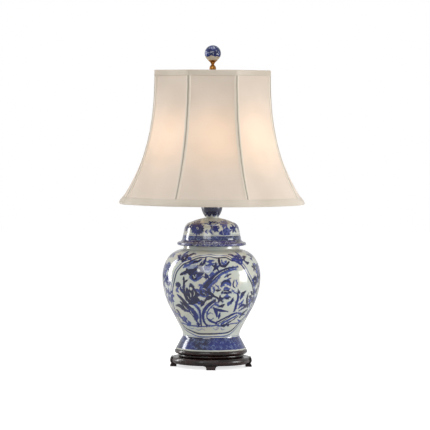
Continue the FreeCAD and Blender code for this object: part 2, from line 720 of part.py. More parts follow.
def harp_fittings():
    """Threaded stud swaged round the top of the harp, and the two sliding ferrules."""
    block = turned_body("StudTurning", [
        ("0", "0"),
        ("Sizes.stud_radius", "0"),
        ("Sizes.stud_radius", "2 * Sizes.stud_height"),
        ("Sizes.stud_thread_radius", "2 * Sizes.stud_height"),
        ("Sizes.stud_thread_radius", "(2 * Sizes.stud_height + Sizes.stud_thread_length)"),
        ("0", "(2 * Sizes.stud_height + Sizes.stud_thread_length)"),
    ], f"({HARP_TOP} - Sizes.stud_height)")
    wire_hole = rod("StudHole", "(Sizes.harp_wire_radius + Sizes.shaft_fit)", "4 * Sizes.stud_radius",
                    x="-2 * Sizes.stud_radius", z=HARP_TOP, towards="+X")
    keep("harp_top_stud", cut("HarpStud", block, wire_hole))
    for side, sign in (("left", "-"), ("right", "")):
        ferrule = turned(f"harp_ferrule_{side}", [
            ("Sizes.ferrule_bore", "0"),
            ("(Sizes.ferrule_bore + Sizes.ferrule_wall)", "0"),
            ("(Sizes.ferrule_bore + Sizes.ferrule_wall)", "Sizes.ferrule_height"),
            ("Sizes.ferrule_bore", "Sizes.ferrule_height"),
        ], EAR_SHOULDER)
        bind(ferrule, Placement__Base__x=f"{sign}Sizes.saddle_half_span")


# ------------------------------------------------------------------ socket and switch

def socket_housing():
    """Brass cap and shell, with the paper insulator inside the shell."""
    outer = "(Sizes.socket_shell_radius + Sizes.socket_fit + Sizes.socket_sheet)"
    inner = "(Sizes.socket_shell_radius + Sizes.socket_fit)"
    floor = "(Sizes.socket_hub_height + Sizes.socket_floor)"
    hub = "Sizes.socket_hub_height"
    side_start = f"({hub} + Sizes.socket_cap_round)"
    turned("socket_cap", [
        ("(Sizes.pipe_radius + Sizes.thread_clearance)", "0"),
        ("Sizes.socket_hub_radius", "0"),
        ("Sizes.socket_hub_radius", hub),
        ("Sizes.socket_cap_floor_radius", hub,
         vertical_arc(outer, side_start, "Sizes.socket_cap_floor_radius", hub), 1),
        (outer, side_start),
        (outer, "Sizes.socket_cap_height"),
        (inner, "Sizes.socket_cap_height"),
        (inner, f"({side_start} + Sizes.socket_sheet)"),
        ("Sizes.socket_cap_floor_radius", floor),
        ("(Sizes.pipe_radius + Sizes.thread_clearance)", floor),
    ], SOCKET_FOOT)
    bore = "(Sizes.socket_shell_radius - Sizes.socket_sheet)"
    shell = turned_body("ShellTurning", [
        (bore, "0"),
        ("Sizes.socket_shell_radius", "0"),
        ("Sizes.socket_shell_radius", "Sizes.socket_shell_height"),
        (bore, "Sizes.socket_shell_height"),
    ], SHELL_FOOT)
    hole = rod("SwitchHole", "Sizes.switch_hole_radius", "2 * Sizes.socket_shell_radius",
               z=SWITCH_AXIS, towards="-Y")
    keep("socket_shell", cut("SocketShell", shell, hole))
    paper = f"({bore} - Sizes.socket_fit)"
    sleeve = turned_body("InsulatorTurning", [
        (f"({paper} - Sizes.insulator_wall)", "0"),
        (paper, "0"),
        (paper, "(Sizes.socket_shell_height - 2 * Sizes.insulator_inset)"),
        (f"({paper} - Sizes.insulator_wall)", "(Sizes.socket_shell_height - 2 * Sizes.insulator_inset)"),
    ], f"({SHELL_FOOT} + Sizes.insulator_inset)")
    keep("socket_insulator", cut("SocketInsulator", sleeve, hole))


CORE_RADIUS = ("(Sizes.socket_shell_radius - Sizes.socket_sheet - Sizes.socket_fit"
               " - Sizes.insulator_wall - Sizes.core_clearance)")


def socket_inside():
    """Moulded core with its terminals, the screw shell and the centre contact."""
    core = turned_body("CoreTurning", [
        ("0", "0"),
        ("(Sizes.socket_cap_floor_radius - Sizes.socket_sheet)", "0"),
        (CORE_RADIUS, "Sizes.core_chamfer"),
        (CORE_RADIUS, "Sizes.core_height"),
        ("0", "Sizes.core_height"),
    ], CORE_FOOT)
    terminal_z = f"({CORE_FOOT} + Sizes.terminal_axis)"
    bores = [rod("ShaftBore", "(Sizes.shaft_radius + Sizes.shaft_fit)", "2 * Sizes.shaft_depth",
                 y=f"-({CORE_RADIUS} - Sizes.shaft_depth)", z=SWITCH_AXIS, towards="-Y")]
    heads = []
    for side, sign in (("+X", ""), ("-X", "-")):
        bores.append(rod(f"Pocket{sign or '+'}", "(Sizes.terminal_radius + Sizes.terminal_pocket)",
                         "Sizes.socket_shell_radius", x=f"{sign}Sizes.terminal_reach", z=terminal_z,
                         towards=side))
        heads.append(rod(f"Head{sign or '+'}", "Sizes.terminal_radius", "Sizes.terminal_height",
                         x=f"{sign}Sizes.terminal_reach", z=terminal_z, towards=side))
    keep("socket_core", cut("SocketCore", core, fused("CoreBores", bores)))
    keep("terminal_screws", together("TerminalScrews", heads))
    turned("socket_screw_shell", [
        ("Sizes.screw_shell_bore", "0"),
        ("(Sizes.screw_shell_bore + Sizes.screw_shell_sheet)", "0"),
        ("(Sizes.screw_shell_bore + Sizes.screw_shell_sheet)", "Sizes.screw_shell_height"),
        ("Sizes.screw_shell_bore", "Sizes.screw_shell_height"),
    ], CORE_TOP)
    keep("socket_contact", rod("SocketContact", "Sizes.contact_radius", "Sizes.contact_height", z=CORE_TOP))


def turn_switch():
    """Shaft from the core out through the shell, and its waisted turn knob."""
    inner_end = f"({CORE_RADIUS} - Sizes.shaft_depth)"
    knob_face = "(Sizes.socket_shell_radius + Sizes.switch_knob_gap)"
    keep("switch_shaft", rod("SwitchShaft", "Sizes.shaft_radius", "Sizes.shaft_length",
                             y=f"-{inner_end}", z=SWITCH_AXIS, towards="-Y"))
    bore_depth = f"({inner_end} + Sizes.shaft_length - {knob_face})"
    bore = "(Sizes.shaft_radius + Sizes.shaft_fit)"
    waist = "(Sizes.switch_knob_length / 2)"
    knob = turned("switch_knob", [
        (bore, "0"),
        ("(Sizes.switch_knob_waist)", "0"),
        ("(Sizes.switch_knob_waist)", waist),
        ("Sizes.switch_knob_radius", "(Sizes.switch_knob_length - Sizes.switch_knob_land)"),
        ("Sizes.switch_knob_radius", "Sizes.switch_knob_length"),
        ("0", "Sizes.switch_knob_length"),
        ("0", bore_depth),
        (bore, bore_depth),
    ], SWITCH_AXIS)
    knob.Placement.Rotation = FreeCAD.Rotation(0, 0, 90)
    bind(knob, Placement__Base__y=f"-{knob_face}", Placement__Base__z=SWITCH_AXIS)


# ------------------------------------------------------------------ bulb

def bulb():
    """Round lamp bulb: hollow glass, screw cap with its end contact, and the stem inside."""
    keep("bulb_contact", rod("BulbContact", "Sizes.bulb_contact_radius", "Sizes.bulb_contact_height",
                             z=BULB_FOOT))
    turned("bulb_cap", [
        ("0", "0"),
        ("Sizes.bulb_glaze_radius", "0"),
        ("Sizes.bulb_cap_radius", "Sizes.bulb_glaze_height"),
        ("Sizes.bulb_cap_radius", "Sizes.bulb_cap_height"),
        ("0", "Sizes.bulb_cap_height"),
    ], f"({BULB_FOOT} + Sizes.bulb_contact_height)")
    foot = BULB_CAP_TOP
    neck_top = "Sizes.bulb_neck_height"
    shoulder_z = "(Sizes.bulb_centre_height - Sizes.bulb_shoulder_drop)"
    shoulder = "sqrt(Sizes.bulb_radius^2 - Sizes.bulb_shoulder_drop^2)"
    glass = "Sizes.bulb_glass"
    inner_radius = f"(Sizes.bulb_radius - {glass})"
    tip = "(Sizes.bulb_centre_height + sqrt(Sizes.bulb_radius^2 - Sizes.crown_flat^2))"
    inner_tip = f"(Sizes.bulb_centre_height + sqrt({inner_radius}^2 - Sizes.crown_flat^2))"
    envelope = turned_body("GlassOutside", [
        ("0", foot),
        ("Sizes.bulb_neck_radius", foot),
        ("Sizes.bulb_neck_radius", neck_top, "Sizes.bulb_shoulder_round", -1),
        (shoulder, shoulder_z, "Sizes.bulb_radius", 1),
        ("Sizes.crown_flat", tip),
        ("0", tip),
    ], BULB_FOOT)
    hollow = turned_body("GlassInside", [
        ("0", foot),
        (f"(Sizes.bulb_neck_radius - {glass})", foot),
        (f"(Sizes.bulb_neck_radius - {glass})", neck_top, "Sizes.bulb_shoulder_round", -1),
        (f"sqrt({inner_radius}^2 - Sizes.bulb_shoulder_drop^2)", shoulder_z, inner_radius, 1),
        ("Sizes.crown_flat", inner_tip),
        ("0", inner_tip),
    ], BULB_FOOT)
    keep("bulb_glass", cut("BulbGlass", envelope, hollow))
    turned("bulb_stem", [
        ("0", "0"),
        ("Sizes.bulb_stem_foot", "0"),
        ("Sizes.bulb_stem_radius", "Sizes.bulb_stem_foot"),
        ("Sizes.bulb_stem_radius", "Sizes.bulb_stem_height"),
        ("0", "Sizes.bulb_stem_height"),
    ], f"({BULB_FOOT} + {BULB_CAP_TOP})")


# ------------------------------------------------------------------ shade

SIDES = 8
WIRE_SIDES = 6                      # facets round a rib's wire
STATIONS = 8                        # spans of a lofted bell curve
STACK = ("(Sizes.cover_thickness + Sizes.ring_wire + 2 * Sizes.glue_gap + Sizes.lining_thickness)")
RING_APOTHEM_INSET = "(Sizes.cover_thickness + Sizes.glue_gap + Sizes.ring_wire / 2)"


def bell(height):
    """Apothem of the cover's outer face at a height."""
    return (f"(Sizes.shade_top_apothem + Sizes.shade_flare * "
            f"(({TRIM_TOP} - {height}) / ({TRIM_TOP} - {COVER_FOOT}))^Sizes.shade_bell_power)")


def heights_between(foot, top):
    """Evenly spaced heights from foot to top."""
    return [f"({foot} + ({top} - {foot}) * {step} / {STATIONS})" for step in range(STATIONS + 1)]


def corner_ratio(height):
    """Corner radius over apothem: eight flat sides at the top, nearly round at the lower rim."""
    return (f"(1 / cos(180 / {SIDES}) - Sizes.shade_round_in * "
            f"(({TRIM_TOP} - {height}) / ({TRIM_TOP} - {COVER_FOOT}))^Sizes.shade_round_power)")


def gore_wire(apothem, height):
    """Closed wire of eight bowed sides, one of them facing the front."""
    above_foot = max(height, size(COVER_FOOT))
    corner = apothem * size(corner_ratio(above_foot))
    turn = 2 * math.pi / SIDES
    edges = []
    for side in range(SIDES):
        start, middle, stop = (
            FreeCAD.Vector(reach * math.cos(turn * share), reach * math.sin(turn * share), height)
            for reach, share in ((corner, side - 0.5), (apothem, side), (corner, side + 0.5)))
        bow = Part.BezierCurve()
        bow.setPoles([start, middle * 2 - (start + stop) * 0.5, stop])
        edges.append(bow.toShape())
    return Part.Wire(edges)


def octagon_loft(name, levels, ruled=False):
    """Solid through eight-sided levels, each an (apothem, height)."""
    solid = doc.addObject("Part::Feature", name)
    wires = [gore_wire(size(apothem), size(height)) for apothem, height in levels]
    solid.Shape = Part.makeLoft(wires, True, ruled)
    return solid


def bell_solid(name, offset, foot, top):
    """Solid inside the bell curve moved out by offset, from foot to top."""
    return octagon_loft(name, [(f"({bell(z)} + {offset})", z) for z in heights_between(foot, top)])


def bell_skin(name, outer, inner, foot, top):
    """Wall between two offsets of the bell curve."""
    return cut(name, bell_solid(f"{name}Outer", outer, foot, top),
               bell_solid(f"{name}Inner", inner, foot, top))


def shade_skins():
    """Cover stretched over the ribs, and the lining on their inside."""
    keep("shade_cover", bell_skin("ShadeCover", "0", "-Sizes.cover_thickness", COVER_FOOT, HUB_TOP))
    lining_out = f"(Sizes.lining_thickness - {STACK})"
    keep("shade_lining", bell_skin("ShadeLining", lining_out, f"(0 - {STACK})", COVER_FOOT,
                                   f"({HUB_FOOT} - Sizes.glue_gap)"))


def octagon_ring(label, apothem, foot):
    """Ring of round wire bent to eight sides."""
    outer = octagon_loft(f"{label}_outer", [(f"({apothem} + Sizes.ring_wire / 2)", foot),
                                            (f"({apothem} + Sizes.ring_wire / 2)",
                                             f"({foot} + Sizes.ring_wire)")], True)
    inner = octagon_loft(f"{label}_inner", [(f"({apothem} - Sizes.ring_wire / 2)", foot),
                                            (f"({apothem} - Sizes.ring_wire / 2)",
                                             f"({foot} + Sizes.ring_wire)")], True)
    keep(label, cut(f"{label}_wire", outer, inner))


def shade_frame():
    """Top and bottom rings, eight ribs at the seams, and the spider that carries them."""
    octagon_ring("shade_top_ring", f"({bell(HUB_TOP)} - {RING_APOTHEM_INSET})", HUB_TOP)
    octagon_ring("shade_bottom_ring", f"({bell(COVER_FOOT)} - {RING_APOTHEM_INSET})",
                 f"({COVER_FOOT} - Sizes.ring_wire)")
    ribs = []
    for rib in range(SIDES):
        angle = 180 / SIDES + rib * 360 / SIDES
        sections = []
        for step, height in enumerate(heights_between(COVER_FOOT, HUB_TOP)):
            reach = f"(({bell(height)} - {RING_APOTHEM_INSET}) * {corner_ratio(height)})"
            section = doc.addObject("Part::RegularPolygon", f"Rib{rib}Level{step}")
            section.Polygon = WIRE_SIDES
            bind(section, Circumradius="Sizes.rib_wire / 2", Placement__Base__x=f"{reach} * cos({angle})",
                 Placement__Base__y=f"{reach} * sin({angle})", Placement__Base__z=height)
            sections.append(section)
        loft = doc.addObject("Part::Loft", f"Rib{rib}")
        loft.Sections = sections
        loft.Solid = True
        ribs.append(loft)
    keep("shade_ribs", together("ShadeRibs", ribs))
    reach = f"({bell(HUB_TOP)} - Sizes.cover_thickness - 3 * Sizes.glue_gap)"
    arm = "Sizes.ring_wire / 2"
    middle = f"({HUB_FOOT} + {arm})"
    hub = fused("SpiderArms", [
        rod("SpiderHub", "Sizes.spider_hub_radius", "Sizes.ring_wire", z=HUB_FOOT),
        rod("ArmsAcross", arm, f"2 * {reach}", x=f"-{reach}", z=middle, towards="+X"),
        rod("ArmsAlong", arm, f"2 * {reach}", y=reach, z=middle, towards="-Y")])
    hole = rod("SpiderHole", "Sizes.spider_hole", "2 * Sizes.ring_wire", z=f"({HUB_FOOT} - {arm})")
    keep("shade_spider", cut("ShadeSpider", hub, hole))


def shade_top_trim():
    """Folded band over the top ring, slotted where the spider's arms come through."""
    foot = f"({TRIM_TOP} - Sizes.trim_band)"
    shoulder = f"({TRIM_TOP} - Sizes.trim_round)"
    out = "(Sizes.glue_gap + Sizes.trim_thickness)"
    face = bell(shoulder)
    outer = octagon_loft("TopTrimOuter", [
        (f"({bell(foot)} + {out})", foot),
        (f"({face} + {out})", shoulder),
        (f"({face} + {out} - Sizes.trim_round)", TRIM_TOP)], True)
    inner = octagon_loft("TopTrimInner", [
        (f"({bell(foot)} - {STACK} - {out})", foot),
        (f"({face} - {STACK} - {out})", shoulder),
        (f"({face} - {STACK} - {out} + Sizes.trim_round)", TRIM_TOP)], True)
    roof = f"({HUB_TOP} + Sizes.ring_wire + Sizes.glue_gap)"
    groove = cut("TopTrimGroove",
                 octagon_loft("TopGrooveOuter", [(f"({bell(z)} + Sizes.glue_gap)", z)
                                                 for z in (foot, roof)], True),
                 octagon_loft("TopGrooveInner", [(f"({bell(z)} - {STACK} - Sizes.glue_gap)", z)
                                                 for z in (foot, roof)], True))
    band = cut("TopTrimBand", cut("TopTrimBlank", outer, inner), groove)
    reach = f"(2 * ({bell(HUB_TOP)} - Sizes.cover_thickness))"
    slot = "(Sizes.ring_wire + 2 * Sizes.glue_gap)"
    slot_foot = f"({HUB_FOOT} - Sizes.glue_gap)"
    slots = fused("SpiderSlots", [box("SlotAcross", reach, slot, slot, slot_foot),
                                  box("SlotAlong", slot, reach, slot, slot_foot)])
    keep("shade_top_trim", cut("TopTrim", band, slots))


def shade_bottom_trim():
    """Padded band rolled under the bottom ring."""
    top = f"({COVER_FOOT} + Sizes.lower_trim_band)"
    middle = f"({COVER_FOOT} + Sizes.lower_trim_band / 2)"
    ring_foot = f"({COVER_FOOT} - Sizes.ring_wire)"
    foot = f"({ring_foot} - Sizes.lower_trim_drop)"
    rim = bell(COVER_FOOT)
    out = "(Sizes.glue_gap + Sizes.trim_thickness)"
    edge = "(Sizes.glue_gap + Sizes.trim_edge)"
    outer = octagon_loft("LowTrimOuter", [
        (f"({rim} + {out} - Sizes.trim_roll - Sizes.lower_trim_drop)", foot),
        (f"({rim} + {edge})", ring_foot),
        (f"({rim} + {out})", COVER_FOOT),
        (f"({bell(middle)} + {out} + Sizes.trim_edge)", middle),
        (f"({bell(top)} + {edge})", top)], True)
    inner = octagon_loft("LowTrimInner", [
        (f"({rim} - {STACK} + Sizes.trim_edge)", foot),
        (f"({rim} - {STACK} - {edge})", ring_foot),
        (f"({rim} - {STACK} - {out})", COVER_FOOT),
        (f"({bell(middle)} - {STACK} - {out})", middle),
        (f"({bell(top)} - {STACK} - {edge})", top)], True)
    levels = ((rim, f"({ring_foot} - Sizes.glue_gap)"), (rim, COVER_FOOT), (bell(middle), middle),
              (bell(top), top))
    groove = cut("LowTrimGroove",
                 octagon_loft("LowGrooveOuter", [(f"({apothem} + Sizes.trim_fit)", z)
                                                 for apothem, z in levels], True),
                 octagon_loft("LowGrooveInner", [(f"({apothem} - {STACK} - Sizes.trim_fit)", z)
                                                 for apothem, z in levels], True))
    keep("shade_bottom_trim", cut("LowTrim", cut("LowTrimBlank", outer, inner), groove))


def shade_seam_trims():
    """Strips over the eight seams, between the two bands."""
    foot = f"({COVER_FOOT} + Sizes.lower_trim_band + Sizes.glue_gap)"
    top = f"({TRIM_TOP} - Sizes.trim_band - Sizes.glue_gap)"
    skin = bell_skin("SeamSkin", "(Sizes.glue_gap + Sizes.seam_trim_thickness)", "Sizes.glue_gap", foot, top)
    reach = "(3 * (Sizes.shade_top_apothem + Sizes.shade_flare))"
    blades = []
    for pair in range(SIDES // 2):
        blade = doc.addObject("Part::Box", f"SeamBlade{pair}")
        angle = 180 / SIDES + pair * 360 / SIDES
        blade.Placement.Rotation = FreeCAD.Rotation(FreeCAD.Vector(0, 0, 1), angle)
        half = "Sizes.seam_trim_width / 2"
        bind(blade, Length=reach, Width="Sizes.seam_trim_width", Height=f"({top} - {foot})",
             Placement__Base__x=f"-{reach} / 2 * cos({angle}) + {half} * sin({angle})",
             Placement__Base__y=f"-{reach} / 2 * sin({angle}) - {half} * cos({angle})",
             Placement__Base__z=foot)
        blades.append(blade)
    keep("shade_seam_trims", common("SeamTrims", skin, fused("SeamBlades", blades)))


# ------------------------------------------------------------------ finial

def finial():
    """Brass bell and cup that screw onto the harp's stud, with a ceramic ball on top."""
    turned("finial_base", [
        ("Sizes.finial_bore", "0"),
        ("Sizes.finial_foot_radius", "0"),
        ("Sizes.finial_foot_radius", "Sizes.finial_foot_height",
         vertical_arc("Sizes.finial_bead_radius", "Sizes.finial_bead_height",
                      "Sizes.finial_foot_radius", "Sizes.finial_foot_height"), 1),
        ("Sizes.finial_bead_radius", "Sizes.finial_bead_height", "Sizes.finial_bell_round", 1),
        ("Sizes.finial_stem_radius", "Sizes.finial_stem_height"),
        ("Sizes.finial_stem_radius", "(Sizes.finial_stem_height + Sizes.finial_stem_length)",
         "Sizes.finial_cup_round", -1),
        ("Sizes.finial_cup_radius", "(Sizes.finial_cup_height - Sizes.finial_cup_lip)"),
        ("Sizes.finial_cup_radius", "Sizes.finial_cup_height"),
        ("0", "Sizes.finial_cup_height"),
        ("0", "Sizes.finial_bore_depth"),
        ("Sizes.finial_bore", "Sizes.finial_bore_depth"),
    ], HUB_TOP)
    drop = "(Sizes.ball_centre_height - Sizes.finial_cup_height)"
    tip = f"({drop} + sqrt(Sizes.ball_radius^2 - Sizes.crown_flat^2))"
    turned("finial_ball", [
        ("0", "0"),
        (f"sqrt(Sizes.ball_radius^2 - {drop}^2)", "0", "Sizes.ball_radius", 1),
        ("Sizes.crown_flat", tip),
        ("0", tip),
    ], BALL_FOOT)


# ------------------------------------------------------------------ build, check and write

stand_base()
stand_feet()
jar_body()
jar_lid()
lamp_pipe()
bottom_hardware()
brass_neck()
harp_saddle()
harp_wire()
harp_fittings()
socket_housing()
socket_inside()
turn_switch()
bulb()
shade_skins()
shade_frame()
shade_top_trim()
shade_bottom_trim()
shade_seam_trims()
finial()
doc.recompute()

for item in doc.Objects:
    if "Invalid" in item.State or "Error" in item.State:
        raise RuntimeError(f"{item.Name} did not build: {item.State}")
for label, piece in pieces:
    if piece.Shape.isNull() or not piece.Shape.isValid() or not piece.Shape.Solids:
        raise RuntimeError(f"{label} has no valid solid")

os.makedirs("parts", exist_ok=True)
for label, piece in pieces:
    piece.Shape.exportStep(f"parts/{label}.step")
    print(f"{label}: {len(piece.Shape.Solids)} solids, {piece.Shape.Volume:.1f} mm3")
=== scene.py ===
"""Looks of the ginger jar lamp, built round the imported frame.

Metres, in the frame's own axes: +Z up, the front towards -Y. Outlines and brushwork are written
in millimetres, as a potter and a shade maker would draw them, and MM turns them into metres.
"""
import bmesh
import bpy
import math
import numpy as np
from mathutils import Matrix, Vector, noise


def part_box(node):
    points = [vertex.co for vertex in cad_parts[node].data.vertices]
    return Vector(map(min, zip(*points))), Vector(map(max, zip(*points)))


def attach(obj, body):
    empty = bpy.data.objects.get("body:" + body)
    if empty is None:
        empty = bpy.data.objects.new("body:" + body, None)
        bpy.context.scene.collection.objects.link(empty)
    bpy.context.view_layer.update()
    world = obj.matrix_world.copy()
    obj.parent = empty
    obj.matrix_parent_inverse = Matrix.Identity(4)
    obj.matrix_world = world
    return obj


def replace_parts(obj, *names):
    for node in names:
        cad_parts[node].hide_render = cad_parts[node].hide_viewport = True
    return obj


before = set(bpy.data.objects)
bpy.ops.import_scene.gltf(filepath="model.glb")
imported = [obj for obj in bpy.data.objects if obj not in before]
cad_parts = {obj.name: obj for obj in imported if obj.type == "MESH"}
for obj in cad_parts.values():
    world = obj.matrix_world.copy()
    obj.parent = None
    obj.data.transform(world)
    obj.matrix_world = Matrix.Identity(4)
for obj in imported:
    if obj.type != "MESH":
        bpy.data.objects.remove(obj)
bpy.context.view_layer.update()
MM = 0.001
FULL_TURN = 2 * math.pi
BULB_HEIGHT = 0.506                 # where the light is, for the glass and the shade's glow


def paint(red, green, blue):
    """Colour as a shader takes it, from its everyday 0 to 255 values."""
    shares = [value / 255 for value in (red, green, blue)]
    return tuple(((c + 0.055) / 1.055) ** 2.4 if c > 0.04045 else c / 12.92 for c in shares) + (1.0,)


# ------------------------------------------------------------------ shader graphs

class Graph:
    """Plain calls that add shader nodes to a tree and wire them up."""

    def __init__(self, tree):
        self.tree = tree

    def node(self, kind, **settings):
        made = self.tree.nodes.new("ShaderNode" + kind)
        for name, value in settings.items():
            setattr(made, name, value)
        return made

    def feed(self, socket, value):
        if isinstance(value, bpy.types.NodeSocket):
            self.tree.links.new(value, socket)
        else:
            socket.default_value = value

    def calc(self, operation, *values):
        made = self.node("Math", operation=operation)
        for socket, value in zip(made.inputs, values):
            self.feed(socket, value)
        return made.outputs[0]

    def plus(self, first, second):
        return self.calc("ADD", first, second)

    def minus(self, first, second):
        return self.calc("SUBTRACT", first, second)

    def times(self, first, second):
        return self.calc("MULTIPLY", first, second)

    def higher(self, first, second):
        return self.calc("MAXIMUM", first, second)

    def ramp(self, value, low, high, start=0.0, end=1.0):
        """Smooth step from start to end while value goes from low to high."""
        made = self.node("MapRange", interpolation_type="SMOOTHSTEP")
        for socket, item in zip(made.inputs, (value, low, high, start, end)):
            self.feed(socket, item)
        return made.outputs[0]

    def blend(self, share, first, second):
        made = self.node("Mix", data_type="RGBA")
        for index, item in ((0, share), (6, first), (7, second)):
            self.feed(made.inputs[index], item)
        return made.outputs[2]

    def noise(self, scale, detail=2.0, roughness=0.5, vector=None, distortion=0.0):
        made = self.node("TexNoise")
        self.feed(made.inputs["Vector"], vector or self.place())
        for name, item in (("Scale", scale), ("Detail", detail), ("Roughness", roughness),
                           ("Distortion", distortion)):
            self.feed(made.inputs[name], item)
        return made.outputs["Fac"]

    def cells(self, scale, vector=None, randomness=1.0):
        """Distance to the nearest of a scatter of points."""
        made = self.node("TexVoronoi", feature="F1")
        self.feed(made.inputs["Vector"], vector or self.place())
        self.feed(made.inputs["Scale"], scale)
        self.feed(made.inputs["Randomness"], randomness)
        return made.outputs["Distance"]

    def place(self):
        """Position on the piece, in the frame's metres."""
        return self.node("TexCoord").outputs["Object"]

    def axes(self, vector=None):
        made = self.node("SeparateXYZ")
        self.feed(made.inputs[0], vector or self.place())
        return made.outputs

    def vector(self, x, y, z):
        made = self.node("CombineXYZ")
        for socket, item in zip(made.inputs, (x, y, z)):
            self.feed(socket, item)
        return made.outputs[0]

    def stretched(self, x, y, z, vector=None):
        """The place scaled along each axis, for grain that runs one way."""
        made = self.node("Mapping")
        self.feed(made.inputs["Vector"], vector or self.place())
        made.inputs["Scale"].default_value = (x, y, z)
        return made.outputs[0]

    def attribute(self, name):
        return self.node("Attribute", attribute_name=name).outputs["Fac"]

    def effect(self, name, **inputs):
        """One of the shared effects, with its own values; gives its outputs."""
        made = self.node("Group", node_tree=bpy.data.node_groups[name])
        for label, item in inputs.items():
            self.feed(made.inputs[label.replace("_", " ")], item)
        return made.outputs

    def bump(self, height, distance, strength=1.0):
        made = self.node("Bump")
        self.feed(made.inputs["Height"], height)
        made.inputs["Distance"].default_value = distance
        made.inputs["Strength"].default_value = strength
        return made.outputs[0]


def shared_effect(name, inputs, outputs):
    """Empty node group with float sockets; gives its graph, its inputs and a way to set outputs."""
    tree = bpy.data.node_groups.new(name, "ShaderNodeTree")
    for label in inputs:
        tree.interface.new_socket(name=label, in_out="INPUT", socket_type="NodeSocketFloat")
    for label in outputs:
        tree.interface.new_socket(name=label, in_out="OUTPUT", socket_type="NodeSocketFloat")
    graph = Graph(tree)
    entry = tree.nodes.new("NodeGroupInput")
    leaving = tree.nodes.new("NodeGroupOutput")
    return graph, [entry.outputs[label] for label in inputs], lambda label, value: graph.feed(
        leaving.inputs[label], value)


def finish_of(name, **constants):
    """New material with a plain surface shader; gives it, its graph and a way to feed its sockets."""
    material = bpy.data.materials.new(name)
    material.use_nodes = True
    graph = Graph(material.node_tree)
    shader = material.node_tree.nodes["Principled BSDF"]
    for label, value in constants.items():
        shader.inputs[label.replace("_", " ")].default_value = value
    return material, graph, lambda label, value: graph.feed(shader.inputs[label], value)


def make_brush_edge():
    """Mask of brushwork from its distance to the stroke's edge, in millimetres, with a hand's wobble."""
    graph, (distance, soft, wobble), put = shared_effect(
        "brush_edge", ("Distance", "Softness", "Wobble"), ("Mask",))
    tremor = graph.minus(graph.noise(330.0, 2.0), 0.5)
    moved = graph.calc("MULTIPLY_ADD", tremor, wobble, distance)
    put("Mask", graph.ramp(moved, graph.times(soft, -1.0), soft))


def make_running_scroll():
    """Scrolling tendril in square cells: a curl in each, turned over from one to the next, with buds."""
    graph, (across, up), put = shared_effect("running_scroll", ("Across", "Up"), ("Lines",))
    parity = graph.calc("FLOORED_MODULO", graph.calc("FLOOR", across), 2.0)
    flip = graph.calc("MULTIPLY_ADD", parity, -2.0, 1.0)
    x = graph.minus(graph.calc("FRACT", across), 0.5)
    y = graph.times(graph.minus(up, 0.5), flip)
    squares = graph.plus(graph.times(x, x), graph.times(y, y))
    reach = graph.calc("SQRT", squares)
    bearing = graph.calc("DIVIDE", graph.calc("ARCTAN2", y, x), FULL_TURN)
    winding = graph.calc("FRACT", graph.minus(graph.times(reach, 5.0), bearing))
    off_line = graph.calc("ABSOLUTE", graph.minus(winding, 0.5))
    curl = graph.times(graph.ramp(off_line, 0.24, 0.12), graph.ramp(reach, 0.45, 0.40))
    wave = graph.times(graph.calc("SINE", graph.times(across, math.pi)), 0.4)
    off_stem = graph.calc("ABSOLUTE", graph.minus(graph.minus(up, 0.5), wave))
    stem = graph.ramp(off_stem, 0.08, 0.03)
    buds = graph.ramp(graph.cells(4.6, graph.vector(across, up, 0.0)), 0.22, 0.14)
    put("Lines", graph.higher(curl, graph.higher(stem, buds)))


def make_woven_cloth():
    """Height and shade of a fine satin: close warp threads, finer weft, and a slub here and there."""
    graph, (across, up, pitch), put = shared_effect(
        "woven_cloth", ("Across", "Up", "Pitch"), ("Height", "Shade"))
    turns = graph.calc("DIVIDE", FULL_TURN, pitch)
    warp = graph.calc("SINE", graph.times(across, turns))
    weft = graph.calc("SINE", graph.times(up, graph.times(turns, 1.7)))
    put("Height", graph.plus(graph.times(warp, 0.35), graph.times(weft, 0.15)))
    streaks = []
    for across_scale, up_scale in ((900.0, 14.0), (14.0, 900.0)):
        scaled = graph.times(across, across_scale), graph.times(up, up_scale)
        streaks.append(graph.noise(1.0, 2.0, vector=graph.vector(*scaled, 0.0)))
    slubs = graph.higher(*streaks)
    put("Shade", graph.ramp(slubs, 0.45, 0.85))


def make_handled_metal():
    """Roughness and tint that handling and air leave on metal: soft clouds, hairlines, dull spots."""
    graph, (scale,), put = shared_effect("handled_metal", ("Scale",), ("Dulling", "Tarnish"))
    clouds = graph.noise(scale, 4.0, 0.6)
    hairlines = graph.noise(1.0, 2.0, vector=graph.stretched(900.0, 900.0, 60.0))
    put("Dulling", graph.times(graph.plus(clouds, hairlines), 0.5))
    put("Tarnish", graph.ramp(clouds, 0.48, 0.72))


for make in (make_brush_edge, make_running_scroll, make_woven_cloth, make_handled_metal):
    make()

# ------------------------------------------------------------------ metals, wood, plastics, glass

GLAZE_GROUND = paint(200, 206, 196)
GLAZE_WARM = paint(206, 204, 188)
COBALT_DARK = paint(10, 15, 62)
COBALT_ROYAL = paint(18, 38, 122)
COBALT_MID = paint(48, 74, 156)
COBALT_PALE = paint(132, 152, 188)


def metal(name, bright, tarnished, low, high, scale=90.0):
    """Metal between a bright and a tarnished tint, with roughness from low to high."""
    material, graph, put = finish_of(name, Metallic=1.0)
    handled = graph.effect("handled_metal", Scale=scale)
    put("Base Color", graph.blend(handled["Tarnish"], bright, tarnished))
    put("Roughness", graph.ramp(handled["Dulling"], 0.35, 0.65, low, high))
    put("Normal", graph.bump(handled["Dulling"], 0.00002))
    return material


def moulded(name, colour, worn, low, high, grain=700.0):
    """Moulded plastic, pressed fibre or enamel: a little uneven in colour and gloss, with a fine skin."""
    material, graph, put = finish_of(name)
    clouds = graph.noise(60.0, 3.0)
    put("Base Color", graph.blend(graph.ramp(clouds, 0.4, 0.7), colour, worn))
    put("Roughness", graph.ramp(clouds, 0.3, 0.7, low, high))
    put("Normal", graph.bump(graph.noise(grain, 2.0), 0.00003))
    return material


